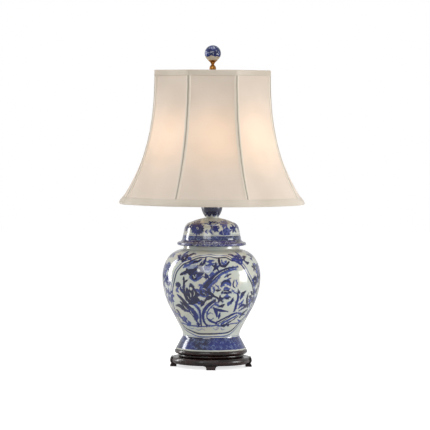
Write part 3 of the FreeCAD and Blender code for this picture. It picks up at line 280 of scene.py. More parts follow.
def rosewood():
    """Dark stained rosewood under a worn polish, with fine pores along the grain."""
    material, graph, put = finish_of("rosewood_polish", Coat_Roughness=0.15, Specular_IOR_Level=0.35)
    flow = graph.stretched(26.0, 26.0, 160.0)
    figure = graph.noise(1.0, 5.0, 0.6, flow, 1.2)
    pores = graph.ramp(graph.noise(1.0, 2.0, vector=graph.stretched(300.0, 1500.0, 2200.0)), 0.60, 0.72)
    pored = graph.times(pores, 0.6)
    brown = graph.blend(graph.ramp(figure, 0.35, 0.75), paint(17, 7, 6), paint(52, 17, 12))
    put("Base Color", graph.blend(pored, brown, paint(8, 5, 5)))
    wear = graph.noise(70.0, 3.0)
    put("Roughness", graph.ramp(wear, 0.3, 0.75, 0.18, 0.34))
    put("Coat Weight", graph.ramp(wear, 0.25, 0.7, 0.6, 0.35))
    relief = graph.minus(graph.times(figure, 0.25), pores)
    put("Normal", graph.bump(relief, 0.00006))
    return material


def frosted_bulb():
    """Soft-white glass: the powder inside is thinner in places, and the lit glass is warm."""
    material, graph, put = finish_of("bulb_soft_white", Emission_Strength=1.0)
    powder = graph.noise(60.0, 4.0)
    put("Base Color", graph.blend(powder, paint(226, 218, 204), paint(240, 235, 224)))
    lit = graph.ramp(graph.axes()["Z"], BULB_HEIGHT - 0.046, BULB_HEIGHT - 0.006)
    put("Emission Color", graph.blend(lit, paint(40, 30, 20), paint(150, 122, 84)))
    put("Roughness", graph.ramp(powder, 0.3, 0.7, 0.18, 0.3))
    return material


def clear_stem_glass():
    material, graph, put = finish_of("stem_glass", Transmission_Weight=1.0, IOR=1.5)
    seeds = graph.cells(500.0)
    put("Base Color", graph.blend(graph.ramp(seeds, 0.1, 0.3), paint(225, 232, 230), paint(244, 247, 246)))
    put("Roughness", graph.ramp(seeds, 0.05, 0.3, 0.12, 0.03))
    return material


POLISHED_BRASS = metal("polished_brass", paint(205, 160, 92), paint(150, 104, 50), 0.14, 0.30)
FINIAL_BRASS = metal("finial_brass", paint(168, 116, 56), paint(104, 64, 28), 0.2, 0.38, 160.0)
CONTACT_BRASS = metal("contact_brass", paint(206, 176, 116), paint(150, 118, 66), 0.28, 0.45)
ZINC_STEEL = metal("zinc_plate", paint(176, 178, 182), paint(140, 136, 124), 0.26, 0.44)
BULB_METAL = metal("bulb_cap_metal", paint(198, 199, 200), paint(160, 158, 152), 0.2, 0.34)
RING_ENAMEL = moulded("ring_enamel", paint(226, 221, 208), paint(208, 200, 184), 0.35, 0.5)
BLACK_PLASTIC = moulded("black_moulding", paint(20, 20, 21), paint(34, 33, 32), 0.22, 0.38)
PRESSED_FIBRE = moulded("pressed_fibre", paint(176, 152, 116), paint(150, 126, 92), 0.7, 0.85, 1400.0)
ROSEWOOD = rosewood()

NODE_FINISHES = {
    "stand_base": ROSEWOOD, "stand_feet": ROSEWOOD,
    "vase_cap": POLISHED_BRASS, "neck_tube": POLISHED_BRASS, "socket_cap": POLISHED_BRASS,
    "socket_shell": POLISHED_BRASS, "harp_saddle": POLISHED_BRASS, "harp_wire": POLISHED_BRASS,
    "harp_top_stud": POLISHED_BRASS, "harp_ferrule_left": POLISHED_BRASS,
    "harp_ferrule_right": POLISHED_BRASS, "finial_base": FINIAL_BRASS,
    "lamp_pipe": ZINC_STEEL, "bottom_washer": ZINC_STEEL, "bottom_locknut": ZINC_STEEL,
    "terminal_screws": ZINC_STEEL, "switch_shaft": ZINC_STEEL,
    "shade_top_ring": RING_ENAMEL, "shade_bottom_ring": RING_ENAMEL, "shade_ribs": RING_ENAMEL,
    "shade_spider": RING_ENAMEL,
    "pipe_bushing": BLACK_PLASTIC, "socket_core": BLACK_PLASTIC, "switch_knob": BLACK_PLASTIC,
    "socket_insulator": PRESSED_FIBRE, "socket_screw_shell": CONTACT_BRASS,
    "socket_contact": CONTACT_BRASS, "bulb_cap": BULB_METAL, "bulb_contact": BULB_METAL,
    "bulb_glass": frosted_bulb(), "bulb_stem": clear_stem_glass(),
}


def finish_node(name, material):
    """Give a CAD node its finish."""
    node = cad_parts[name]
    if not node.material_slots:
        node.data.materials.append(material)
    for slot in node.material_slots:
        slot.material = material


for name, material in NODE_FINISHES.items():
    finish_node(name, material)

# ------------------------------------------------------------------ making pieces

CREASE = math.radians(38)


def finished(name, bm, body, slot, material, *nodes):
    """Turn a mesh in the making into a piece that rides on a body and stands for CAD nodes."""
    for face in bm.faces:
        face.smooth = True
    for edge in bm.edges:
        edge.smooth = len(edge.link_faces) != 2 or edge.calc_face_angle() < CREASE
    mesh = bpy.data.meshes.new(name)
    bm.to_mesh(mesh)
    bm.free()
    mesh.materials.append(material)
    piece = bpy.data.objects.new(name, mesh)
    bpy.context.scene.collection.objects.link(piece)
    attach(piece, body)
    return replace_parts(piece, *nodes) if nodes else piece


def arc(start, end, radius, side, spacing):
    """Points after start, up to end, on an arc that bulges right (+1) or left (-1) of its run."""
    start, end = Vector(start), Vector(end)
    chord = end - start
    rise = math.sqrt(max(radius ** 2 - (chord.length / 2) ** 2, 0.0))
    centre = (start + end) / 2 + Vector((-chord.y, chord.x)).normalized() * rise * side
    first = math.atan2(start.y - centre.y, start.x - centre.x)
    last = math.atan2(end.y - centre.y, end.x - centre.x)
    turn = (last - first) * side % FULL_TURN * side
    steps = max(2, math.ceil(abs(turn) * radius / spacing))
    return [(centre.x + radius * math.cos(first + turn * step / steps),
             centre.y + radius * math.sin(first + turn * step / steps)) for step in range(1, steps + 1)]


def upright_arc(across_a, up_a, across_b, up_b):
    """Radius of the arc that stands upright at point a and passes through point b."""
    return ((across_a - across_b) ** 2 + (up_a - up_b) ** 2) / (2 * abs(across_a - across_b))


def outline(points, spacing):
    """Outline as closely spaced points; a corner is (across, up), or has an arc's (radius, side) too."""
    run = []
    for corner, after in zip(points, points[1:] + points[:1]):
        start, end = corner[:2], after[:2]
        run.append(start)
        if len(corner) == 4:
            run += arc(start, end, corner[2], corner[3], spacing)[:-1]
        else:
            steps = max(1, math.ceil(math.dist(start, end) / spacing))
            run += [(start[0] + (end[0] - start[0]) * step / steps,
                     start[1] + (end[1] - start[1]) * step / steps) for step in range(1, steps)]
    return run


def turned(points, segments):
    """Closed ring of wall turned about the lamp's axis, from its section in metres."""
    bm = bmesh.new()
    rim = [bm.verts.new((across, 0.0, up)) for across, up in points]
    run = [bm.edges.new(pair) for pair in zip(rim, rim[1:] + rim[:1])]
    bmesh.ops.spin(bm, geom=rim + run, cent=(0, 0, 0), axis=(0, 0, 1), angle=FULL_TURN, steps=segments,
                   use_merge=True)
    bmesh.ops.remove_doubles(bm, verts=bm.verts, dist=1e-7)
    bmesh.ops.recalc_face_normals(bm, faces=bm.faces)
    return bm


# ------------------------------------------------------------------ brushwork on the glaze

FADE = 3.0                          # how far from a stroke its distance is kept, in millimetres
# Each tone's share and millimetres by which a loaded brush spreads the drawn width.
LOADED = {"dark": (1.16, 0.3), "mid": (1.35, 0.35), "pale": (1.5, 0.3), "reserve": (1.0, 0.15)}
TONES = tuple(LOADED)


def smooth_run(points, per_span=6):
    """Points of a smooth line through the given ones."""
    points = np.array(points, float)
    if len(points) < 3:
        return np.linspace(points[0], points[-1], per_span)
    padded = np.vstack([2 * points[0] - points[1], points, 2 * points[-1] - points[-2]])
    run = []
    for a, b, c, d in zip(padded, padded[1:], padded[2:], padded[3:]):
        for t in np.arange(per_span) / per_span:
            run.append(0.5 * (2 * b + (c - a) * t + (2 * a - 5 * b + 4 * c - d) * t ** 2
                              + (3 * b - a - 3 * c + d) * t ** 3))
    return np.array(run + [points[-1]])


def stroke_in(tone):
    """Way to write down a stroke in a tone: half widths along it, then its points."""
    return lambda widths, *points: (tone, widths, points)


navy, blue, tint, bare = map(stroke_in, TONES)


class Painter:
    """Lays brush strokes on a turned piece, as distances to each stroke's edge kept at its vertices.

    A stroke is drawn on a flat plan held up in front of the piece, in millimetres: across from the
    axis, and up from the table. The plan can be turned about the axis to paint another side.
    """

    def __init__(self, piece, section):
        count = len(piece.data.vertices)
        places = np.empty(count * 3)
        piece.data.vertices.foreach_get("co", places)
        self.piece = piece
        self.places = places.reshape(-1, 3) / MM
        outer = np.array(sorted((up / MM, across / MM) for across, up in section))
        self.heights, self.radii = outer[:, 0], outer[:, 1]
        self.fields = {tone: np.full(count, -FADE) for tone in TONES}

    def on_piece(self, plan, turn, mirrored):
        across, up = plan[:, 0] * (-1 if mirrored else 1), plan[:, 1]
        radius = np.interp(up, self.heights, self.radii)
        angle = np.arcsin(np.clip(across / radius, -0.995, 0.995)) + math.radians(turn)
        return np.column_stack([radius * np.sin(angle), -radius * np.cos(angle), up])

    def lay(self, tone, widths, points, turn=0.0, mirrored=False):
        """One stroke: half widths spread along a smooth line through the points."""
        plan = smooth_run(points)
        widths = [width * LOADED[tone][0] + LOADED[tone][1] for width in widths]
        line = self.on_piece(plan, turn, mirrored)
        shares = np.linspace(0, 1, len(line))
        spread = np.interp(shares, np.linspace(0, 1, len(widths)), widths)
        reach = spread.max() + FADE
        near = np.all((self.places > line.min(0) - reach) & (self.places < line.max(0) + reach), axis=1)
        spots = self.places[near]
        best = np.full(len(spots), -FADE)
        for start, end, wide, next_wide in zip(line, line[1:], spread, spread[1:]):
            run = end - start
            share = np.clip((spots - start) @ run / max(run @ run, 1e-9), 0, 1)
            gap = np.linalg.norm(spots - start - share[:, None] * run, axis=1)
            best = np.maximum(best, wide + (next_wide - wide) * share - gap)
        self.fields[tone][near] = np.maximum(self.fields[tone][near], best)

    def motif(self, strokes, turn=0.0, mirrored=False, across=0.0, up=0.0, size=1.0):
        """A drawn motif, moved and sized on the plan."""
        for tone, widths, points in strokes:
            moved = [(x * size + across, z * size + up) for x, z in points]
            self.lay(tone, [width * size for width in widths], moved, turn, mirrored)

    def panel(self, points, turns, keep=14.0):
        """Distance inward from a closed panel's line, at each of the given turns."""
        plan = smooth_run(points + points[:1])
        best = np.full(len(self.places), -keep)
        for turn in turns:
            angle = math.radians(turn)
            across = self.places[:, 0] * math.cos(angle) + self.places[:, 1] * math.sin(angle)
            depth = -self.places[:, 0] * math.sin(angle) + self.places[:, 1] * math.cos(angle)
            line = self.on_piece(plan, turn, False)
            facing = depth < 0
            spots = self.places[facing]
            gap = np.full(len(spots), keep)
            inside = np.zeros(len(spots), bool)
            x, z = across[facing], spots[:, 2]
            for start, end, here, there in zip(line, line[1:], plan, plan[1:]):
                run = end - start
                share = np.clip((spots - start) @ run / max(run @ run, 1e-9), 0, 1)
                gap = np.minimum(gap, np.linalg.norm(spots - start - share[:, None] * run, axis=1))
                spans = (here[1] > z) != (there[1] > z)
                slope = (there[0] - here[0]) / (there[1] - here[1] + 1e-9)
                inside ^= spans & (x < here[0] + (z - here[1]) * slope)
            best[facing] = np.maximum(best[facing], np.where(inside, gap, -gap))
        self.keep("panel_edge", best)

    def keep(self, name, values):
        self.piece.data.attributes.new(name, "FLOAT", "POINT").data.foreach_set(
            "value", values.astype(np.float32))

    def finish(self):
        for tone, field in self.fields.items():
            self.keep("brush_" + tone, field)


def ring_of(count, inner, outer, width, tone="dark", start=0.0, span=360.0):
    """Petals set round a point, each a short stroke that swells and ends in a tip."""
    strokes = []
    for petal in range(count):
        angle = math.radians(start + span * petal / (count if span >= 360 else count - 1))
        x, z = math.cos(angle), math.sin(angle)
        middle = (inner + outer) / 2
        strokes.append((tone, (width * 0.3, width, width * 0.45),
                        [(x * inner, z * inner), (x * middle, z * middle), (x * outer, z * outer)]))
    return strokes


def loop(radius, width, tone, start=0.0, span=360.0, squash=1.0):
    """Thin brushed ring or part of one."""
    angles = [math.radians(start + span * step / 10) for step in range(11)]
    return [(tone, (width * 0.5, width, width * 0.7),
             [(radius * math.cos(a), radius * squash * math.sin(a)) for a in angles])]


BLOSSOM = (ring_of(5, 2.2, 5.4, 2.4, "mid", 90) + ring_of(5, 4.4, 5.6, 1.0, "dark", 90)
           + [navy((1.3, 1.3), (0, -0.2), (0, 0.2))])
CHRYSANTHEMUM = (ring_of(15, 3.5, 12.5, 1.35, "dark", 0) + ring_of(15, 3.0, 11.0, 1.5, "mid", 12)
                 + [navy((3.4, 3.4), (-0.4, 0), (0.4, 0))] + ring_of(7, 1.0, 2.6, 0.5, "reserve"))
PEONY = (ring_of(7, 3.0, 9.5, 3.2, "mid", 20) + loop(9.6, 0.9, "dark", 10, 150)
         + loop(9.6, 0.9, "dark", 190, 120) + loop(5.4, 0.8, "dark", 60, 230)
         + [navy((2.0, 2.4, 1.2), (-1.5, -1), (0, 0), (2, 1))]
         + ring_of(3, 3.6, 7.0, 0.7, "reserve", 50, 200))
LEAF_STAR = ring_of(5, 0.5, 8.6, 2.2, "dark", 20)
SPRIG = [navy((0.8, 1.0, 0.7), (-10, -4), (-3, 0), (6, 2)),
         navy((0.8, 2.6, 0.6), (-8, -3), (-12, 2), (-17, 3)),
         navy((0.8, 2.3, 0.6), (-9, -4), (-14, -7), (-19, -6)),
         navy((0.6, 2.4, 0.6), (5, 2), (10, 6), (16, 7)),
         blue((0.6, 2.2, 0.6), (5, 1), (11, 0), (16, -3)),
         blue((0.6, 1.8, 0.5), (-2, 1), (-4, 6), (-3, 10))] + ring_of(7, 1.2, 5.6, 1.7, "dark", 10)

# Picture in the panel, drawn on the plan: branch with blossom, long-tailed bird, garden rock,
# bending stems and leaves, a fallen log and the ground they stand on.
PLUM_BRANCH = [
    navy((2.2, 3.0, 3.4, 2.9, 2.6, 2.3, 2.0, 1.2),
     (-66, 208.4), (-58, 212.5), (-49.5, 216), (-39.5, 218), (-31, 221.5), (-23, 227), (-15.8, 234.5),
     (-11.5, 246)),
    navy((1.4, 3.6, 3.2), (-54, 220), (-49, 214), (-44, 209)),
    navy((1.5, 4.0, 3.0, 1.0), (-24, 221), (-20, 215), (-24, 209), (-31, 205)),
    blue((1.0, 2.8, 2.2, 0.8), (-50, 230), (-42, 234.5), (-33, 236), (-22, 240.5)),
    navy((0.6, 1.9, 1.5, 0.6), (-43, 231.5), (-36, 236.5), (-29, 238), (-22, 242)),
    blue((0.8, 2.8, 0.8), (-61, 223), (-56, 227), (-49, 228.5)),
    navy((0.8, 2.2, 0.7), (-21, 236), (-24, 230), (-25, 224)),
    blue((0.7, 1.1, 1.3, 0.7), (-46, 201), (-37, 195.5), (-28, 199), (-19, 205)),
    blue((3.2, 5.6, 4.4), (-43, 206), (-36, 203), (-29, 206)),
    navy((1.2, 3.4, 2.6, 0.8), (-45, 210), (-38, 211.5), (-32, 211), (-27, 214)),
    navy((0.6, 1.2, 0.6), (-42, 205), (-37, 199), (-31, 203)),
    bare((2.6, 2.9), (-29, 219), (-28, 218.6)),
    bare((0.5, 0.8, 0.4), (-40, 207), (-36.5, 203), (-33, 205)),
    navy((1.0, 3.2, 1.2), (-13.5, 211), (-10.5, 206.5), (-6.5, 202.5)),
    navy((0.8, 2.0, 0.8), (-16, 204), (-11, 203), (-7, 204.5)),
    blue((0.7, 2.6, 0.7), (-4.5, 207), (1, 211), (5, 213.5)),
    tint((2.0, 4.5, 3.0), (-52, 224), (-44, 222), (-36, 226)),
]
TOP_BLOSSOMS = [
    blue((0.7, 1.1, 0.8), (-4, 241), (-2, 234), (4, 232)),
    blue((0.9, 2.4, 0.8), (-9, 236), (-3, 238), (4, 239.5)),
    blue((0.8, 1.9, 0.7), (-9, 230), (-1, 231), (6, 233.5)),
    tint((3.0, 5.0, 3.0), (-12, 224), (-8, 220), (-3, 223)),
    navy((1.7, 2.1, 2.3, 2.0, 1.5), (15.8, 243), (17.4, 234), (21, 228.5), (28, 227), (33.5, 231.5),
         (38, 236.5)),
    blue((0.8, 1.1, 0.9), (22, 241), (23.5, 233), (28, 232), (31.5, 238)),
    navy((1.0, 2.6, 0.8), (4.5, 219), (9, 225), (9.6, 235)),
    navy((1.0, 2.6, 0.8), (2, 229), (10.5, 226), (19.5, 229.5)),
    navy((0.8, 2.4, 0.8), (4, 218), (11, 223.5), (15, 218)),
]
LONG_TAILED_BIRD = [
    blue((0.8, 1.9, 2.3, 3.0, 4.2, 5.4, 6.6, 6.0),
     (58, 225.6), (42, 223.2), (30.5, 220), (18, 213.5), (8, 206), (-0.4, 196.5), (-7.4, 188),
     (-13.5, 181.5)),
    navy((0.4, 0.9, 1.1, 1.4, 2.0, 3.2, 4.2, 3.8),
     (57, 226), (42, 224.5), (30, 221.5), (17, 215), (6.5, 207), (-2, 197.5), (-8.6, 189), (-14, 182.5)),
    navy((0.3, 0.8, 0.9, 1.0, 0.6), (40, 221), (27, 216.5), (15, 209), (5.5, 199), (-2, 190)),
    blue((0.6, 1.1, 1.3, 1.3, 1.1, 0.8), (55, 221), (43, 218.6), (33, 215.4), (25, 212), (17.5, 205.5),
         (6, 190)),
    bare((0.2, 0.6, 0.6, 0.2), (36, 221), (22, 215), (9.5, 205.5), (1, 196)),
    blue((6.6, 9.6, 8.6, 4.8), (-10, 182), (-13.5, 176), (-15, 171), (-15.5, 167)),
    navy((1.2, 2.0, 1.4, 0.6), (-22.5, 175), (-21.5, 168.5), (-16, 164.5), (-9, 165.5)),
    navy((1.4, 2.6, 2.2, 1.0), (-4.5, 179), (-6, 173), (-3, 168), (3, 163.5)),
    navy((0.5, 1.1, 0.5), (-17, 177), (-12.5, 174.5), (-9, 170)),
    navy((0.5, 1.0, 0.5), (-19, 173.5), (-14, 171), (-10.5, 167)),
    navy((0.6, 1.3, 0.6), (-19, 181), (-13.5, 181.5), (-8, 178.5)),
    bare((0.5, 0.9, 0.4), (-20.5, 178.5), (-15, 178.4), (-11, 175.5)),
    bare((0.4, 0.7, 0.3), (-17.5, 169), (-14, 167.5), (-11, 164.5)),
    navy((1.3, 2.4, 1.6, 0.8), (-2, 171), (3, 165), (8, 161), (14, 160)),
    blue((0.6, 1.6, 0.5), (-27, 185.5), (-22, 186.5), (-17, 184)),
]
GARDEN_ROCK = [
    navy((1.5, 2.1, 2.6, 3.1, 4.0), (-60, 202), (-59.3, 189.5), (-60, 178), (-58, 167), (-52.5, 155.5)),
    navy((0.8, 1.8, 0.9), (-51.5, 197), (-55, 194.5), (-59, 191)),
    navy((1.0, 3.0, 1.4), (-67.5, 180), (-65, 173.5), (-61, 168)),
    navy((0.8, 4.6, 7.6, 8.6, 6.6), (-45.4, 189), (-43, 181), (-41, 171), (-39, 161), (-35.5, 152)),
    navy((2.6, 5.4, 6.4, 6.0), (-53, 176), (-50.5, 165), (-47.5, 155), (-43.5, 148.5)),
    navy((5.0, 4.4, 1.2), (-36, 169), (-31.5, 165.5), (-26, 164.5)),
    navy((4.0, 3.2, 1.0), (-34, 158), (-28.5, 153.5), (-24, 150)),
    blue((1.0, 2.4, 1.0), (-36, 176), (-30.5, 175), (-26, 171)),
    blue((1.2, 3.0, 1.5), (-31, 150), (-26.5, 147), (-22.5, 151)),
    bare((2.6, 3.2), (-45, 178.8), (-44, 177.6)),
    bare((0.3, 0.9, 0.3), (-47.5, 171), (-44.5, 165.5), (-44.5, 159)),
    bare((0.3, 0.8, 0.3), (-38.5, 174), (-36.5, 168), (-38, 162)),
    bare((0.2, 0.7, 0.2), (-51, 161), (-48, 155.5), (-43, 152.5)),
    navy((1.3, 3.0, 3.8, 5.2, 6.8, 6.2, 3.0, 1.0),
     (-74, 163), (-65, 155.5), (-57, 146), (-51, 137), (-43, 128.5), (-35, 119), (-32.5, 110), (-32, 104)),
    navy((1.4, 4.2, 4.8, 4.0), (-76.5, 138.5), (-68, 138), (-60, 133), (-52, 129)),
    navy((1.6, 4.2, 4.6), (-66, 147), (-58, 139.5), (-50, 131)),
    navy((1.2, 3.4, 2.2), (-76.5, 128), (-72.5, 125), (-69, 119.5)),
    blue((1.2, 2.8, 1.6), (-74.5, 120), (-69, 115), (-64.5, 110.5)),
    bare((0.3, 1.0, 0.4), (-61, 141.5), (-55, 133.5), (-49.5, 130)),
    bare((0.3, 0.9, 0.3), (-46, 129.5), (-41.5, 121.5), (-37.5, 118)),
    blue((0.8, 1.6, 1.4), (-59, 104), (-52, 99), (-45, 97)),
    blue((0.8, 2.6, 1.0), (-49.5, 105), (-47.5, 101), (-44.5, 96)),
    navy((0.8, 2.8, 1.6), (-29.5, 104), (-27.5, 99), (-27, 94.5)),
]
BENDING_STEMS = [
    navy((2.4, 3.0, 3.1, 2.8, 2.6, 2.2, 1.9, 1.6),
     (7.5, 152.5), (-1.8, 146), (-9.5, 138.8), (-15, 129.8), (-17.5, 121), (-17.2, 111.5), (-14.4, 103),
     (-8.8, 96)),
    blue((0.7, 0.9, 0.9, 0.8), (11, 148), (1, 139.5), (-6, 131), (-9.5, 121.5)),
    navy((1.0, 1.9, 2.2, 1.6), (-9, 113.5), (-4, 108.5), (2.5, 104.5), (11, 102)),
    blue((0.9, 1.8, 1.8, 1.6, 1.5), (-51, 143.7), (-39.6, 143.7), (-31, 138.8), (-25.6, 131), (-23.5, 121)),
    navy((1.2, 1.6, 1.5, 1.4), (-31, 137), (-25, 128), (-22.8, 110), (-21.4, 95.5)),
    tint((1.0, 2.4, 2.0, 1.0), (-35, 140), (-27.5, 132), (-25, 118), (-24, 104)),
    navy((1.0, 3.6, 1.4), (-22, 139.5), (-19, 145), (-14.5, 150)),
    navy((1.2, 4.2, 1.2), (-13.5, 152.5), (-6, 158.5), (2, 160)),
    navy((0.9, 2.8, 0.9), (-23, 152), (-19, 148), (-16, 143)),
    navy((1.4, 3.2, 0.9), (5, 136.8), (10.5, 127.5), (12.5, 115.5)),
    navy((1.4, 3.2, 0.7), (7.5, 135), (20, 130.5), (36, 128)),
    navy((0.8, 2.6, 0.8), (19, 124.5), (17.5, 118), (16, 112)),
    navy((0.8, 3.0, 1.0), (29, 144.5), (23.5, 141), (16, 138.5)),
    blue((0.7, 1.4, 0.7), (8, 144), (15, 142), (25, 137.5)),
    blue((0.8, 2.2, 0.8), (28, 160.5), (34, 161.5), (41, 160)),
    navy((0.8, 2.7, 1.6), (47.5, 158.5), (45.5, 152.5), (42.5, 147)),
    blue((1.2, 3.2, 1.4), (41.5, 150), (38.5, 146), (36.5, 142)),
    navy((0.8, 2.3, 0.8), (29, 158.8), (34.5, 157.6), (40, 160.5)),
]
RIGHT_FLOWERS = [
    blue((1.6, 4.2, 4.4, 2.2), (21.5, 184.5), (27.5, 191), (36, 192.5), (40.5, 187.5)),
    navy((0.6, 1.5, 1.7, 0.7), (21, 186), (27, 194.5), (36.5, 195.8), (41.5, 189)),
    bare((1.4, 1.9), (30, 187.5), (31.5, 187)),
    navy((1.2, 3.8, 4.2, 0.8), (22, 170), (29, 171.8), (35, 171.5), (43, 170)),
    blue((1.0, 2.2, 1.0), (27, 178), (33, 180), (39, 177.5)),
    bare((0.3, 0.8, 0.3), (26, 172), (31, 173.2), (37, 171.5)),
    navy((0.7, 1.5, 1.2, 0.7), (49.5, 196), (47.2, 189), (48.2, 183), (52, 180)),
    blue((0.6, 0.9, 0.6), (54, 196.5), (56, 189), (53.5, 183)),
    blue((0.5, 1.0, 0.8), (44, 178), (50.5, 170), (59, 166.5)),
    blue((0.6, 1.4, 0.6), (28, 203.5), (33.5, 207), (36, 210.5)),
    navy((0.6, 1.3, 0.6), (35.5, 203), (36, 207.5), (43, 211)),
    blue((0.6, 1.2, 0.6), (35, 199.5), (39, 200.2), (42.5, 201.5)),
    navy((0.8, 2.2, 0.8), (9.5, 175.8), (14, 175), (19, 175.8)),
    blue((0.6, 1.4, 0.6), (4.5, 182), (6.5, 176), (4, 169)),
    blue((0.6, 1.0, 0.5), (9, 187), (14.5, 183), (17, 179.5)),
    navy((0.6, 1.3, 0.6), (58, 177.5), (59.5, 171), (62.5, 168)),
]
RIGHT_LEAVES = [
    navy((1.0, 4.4, 1.8), (75, 172), (68, 165), (64, 156)),
    navy((2.0, 2.3, 2.5, 2.5, 1.8), (57.5, 168), (58.3, 158), (55.2, 147), (53, 137), (50, 128)),
    navy((0.8, 2.5, 2.6, 1.2), (80.5, 166), (78, 155), (78.2, 144), (79.5, 134)),
    navy((1.0, 3.0, 0.9), (86, 144.5), (75.5, 137), (61, 128.5)),
    navy((0.9, 3.2, 1.4), (60, 134), (67, 140.5), (75.5, 139)),
    navy((0.9, 3.0, 1.0), (79, 129), (70, 122.5), (62, 112)),
    blue((0.8, 2.4, 0.8), (82, 152), (84.5, 143), (83, 134)),
    blue((0.8, 2.0, 0.8), (70, 152), (66, 146), (60, 143)),
    blue((0.8, 2.4, 0.8), (74, 118), (66, 119.5), (57, 124)),
    navy((3.2, 3.4, 2.8, 2.5, 1.6), (12, 101.5), (22, 107), (34.5, 114), (44.5, 119.8), (55, 124)),
    blue((1.3, 1.6, 1.4, 0.9), (22, 100), (35, 107), (48.5, 114), (56.5, 117.5)),
    navy((0.6, 1.0, 0.9, 0.5), (26, 97), (40, 103.5), (52, 111), (60, 117)),
    bare((0.6, 0.9, 0.3), (14, 101.5), (24, 107), (38, 115)),
    navy((1.2, 2.4, 1.0), (22, 97.5), (26, 95.5), (30, 94)),
    navy((0.8, 1.8, 0.8), (33, 98), (36.5, 96.5), (38.5, 95)),
    blue((0.6, 1.6, 0.6), (58, 108), (62, 104), (66, 103)),
]
GROUND = [
    blue((0.7, 1.1, 0.9, 0.8, 1.0, 0.7),
     (-64, 99), (-51, 95.3), (-34, 94), (-22.8, 93.2), (-8.8, 94.6), (9.5, 96.7), (25, 94.6),
     (42, 98.9), (60, 100.3)),
    tint((0.6, 0.9, 0.5), (-33, 87), (-27, 85), (-20, 88), (-14, 85.5)),
    tint((0.5, 1.0, 0.5), (5, 90), (10, 86.5), (16, 89.5), (12, 92)),
    tint((0.5, 1.0, 0.5), (21, 91), (24, 86.5), (30, 87.5)),
    tint((0.5, 0.9, 0.5), (-48, 90), (-42, 87.5), (-37, 89)),
]
SIDE_SPRAY = [
    navy((0.8, 1.2, 1.2, 0.7), (-3, 112), (5, 140), (-4, 172), (3, 204)),
    navy((0.8, 3.6, 1.0), (2, 128), (9, 137), (17, 141)),
    navy((0.8, 3.2, 1.0), (4, 140), (-5, 149), (-14, 151)),
    blue((0.8, 3.4, 1.0), (2, 152), (11, 158), (19, 158)),
    navy((0.8, 3.4, 1.0), (-2, 164), (-11, 170), (-19, 168)),
    navy((0.8, 3.0, 1.0), (-2, 176), (7, 181), (16, 179)),
    blue((0.8, 2.8, 1.0), (-1, 186), (-9, 193), (-17, 193)),
    navy((0.8, 3.2, 1.0), (3, 196), (11, 201), (18, 206)),
    navy((0.8, 3.0, 1.0), (4, 224), (12, 228), (18, 226)),
    blue((0.8, 3.0, 1.0), (-4, 222), (-11, 228), (-17, 229)),
]
# The panel's line, clockwise from its top as seen from the front.
PANEL = [(-5, 248), (8, 245.2), (16, 244.8), (28, 245.6), (33.5, 244.6), (42, 240), (54, 236.5),
         (63, 231), (71, 221), (79.5, 205), (86.5, 191), (90, 181), (91.5, 170), (90.8, 149), (88, 138),
         (82.5, 126), (75.5, 115.5), (61.5, 100.5), (49, 87.5), (36, 79.5), (14, 77.6), (-14, 76.8),
         (-28, 77.2), (-42.5, 82), (-56, 87.8), (-66, 98.8), (-71, 110), (-77.5, 122.5), (-82.5, 138),
         (-84.5, 155), (-84.6, 170), (-82.5, 184), (-79.5, 198), (-75.5, 212), (-69, 221.5),
         (-60.5, 230), (-51, 234.2), (-39.5, 240), (-25.5, 244.8), (-14, 246)]


# ------------------------------------------------------------------ painted ceramic

# Turned borders, as the heights in millimetres between which each one runs.
FOOT_BORDER, FOOT_SCROLL = (42.2, 68.4), (43.0, 67.5)
LINE_OVER_FOOT = (70.2, 71.1)
FLANGE_BORDER, FLANGE_SCROLL = (266.0, 280.4), (268.0, 280.5)
COVE_BORDER, COVE_SCROLL = (280.6, 290.6), (281.0, 290.5)
LINE_OVER_COVE = (292.2, 292.9)
KNOB_RING = (357.5, 359.0)
KNOB_BRIM = 0.3325                  # lowest point of the knob's painted petals, in metres
KNOB_PETALS = 9


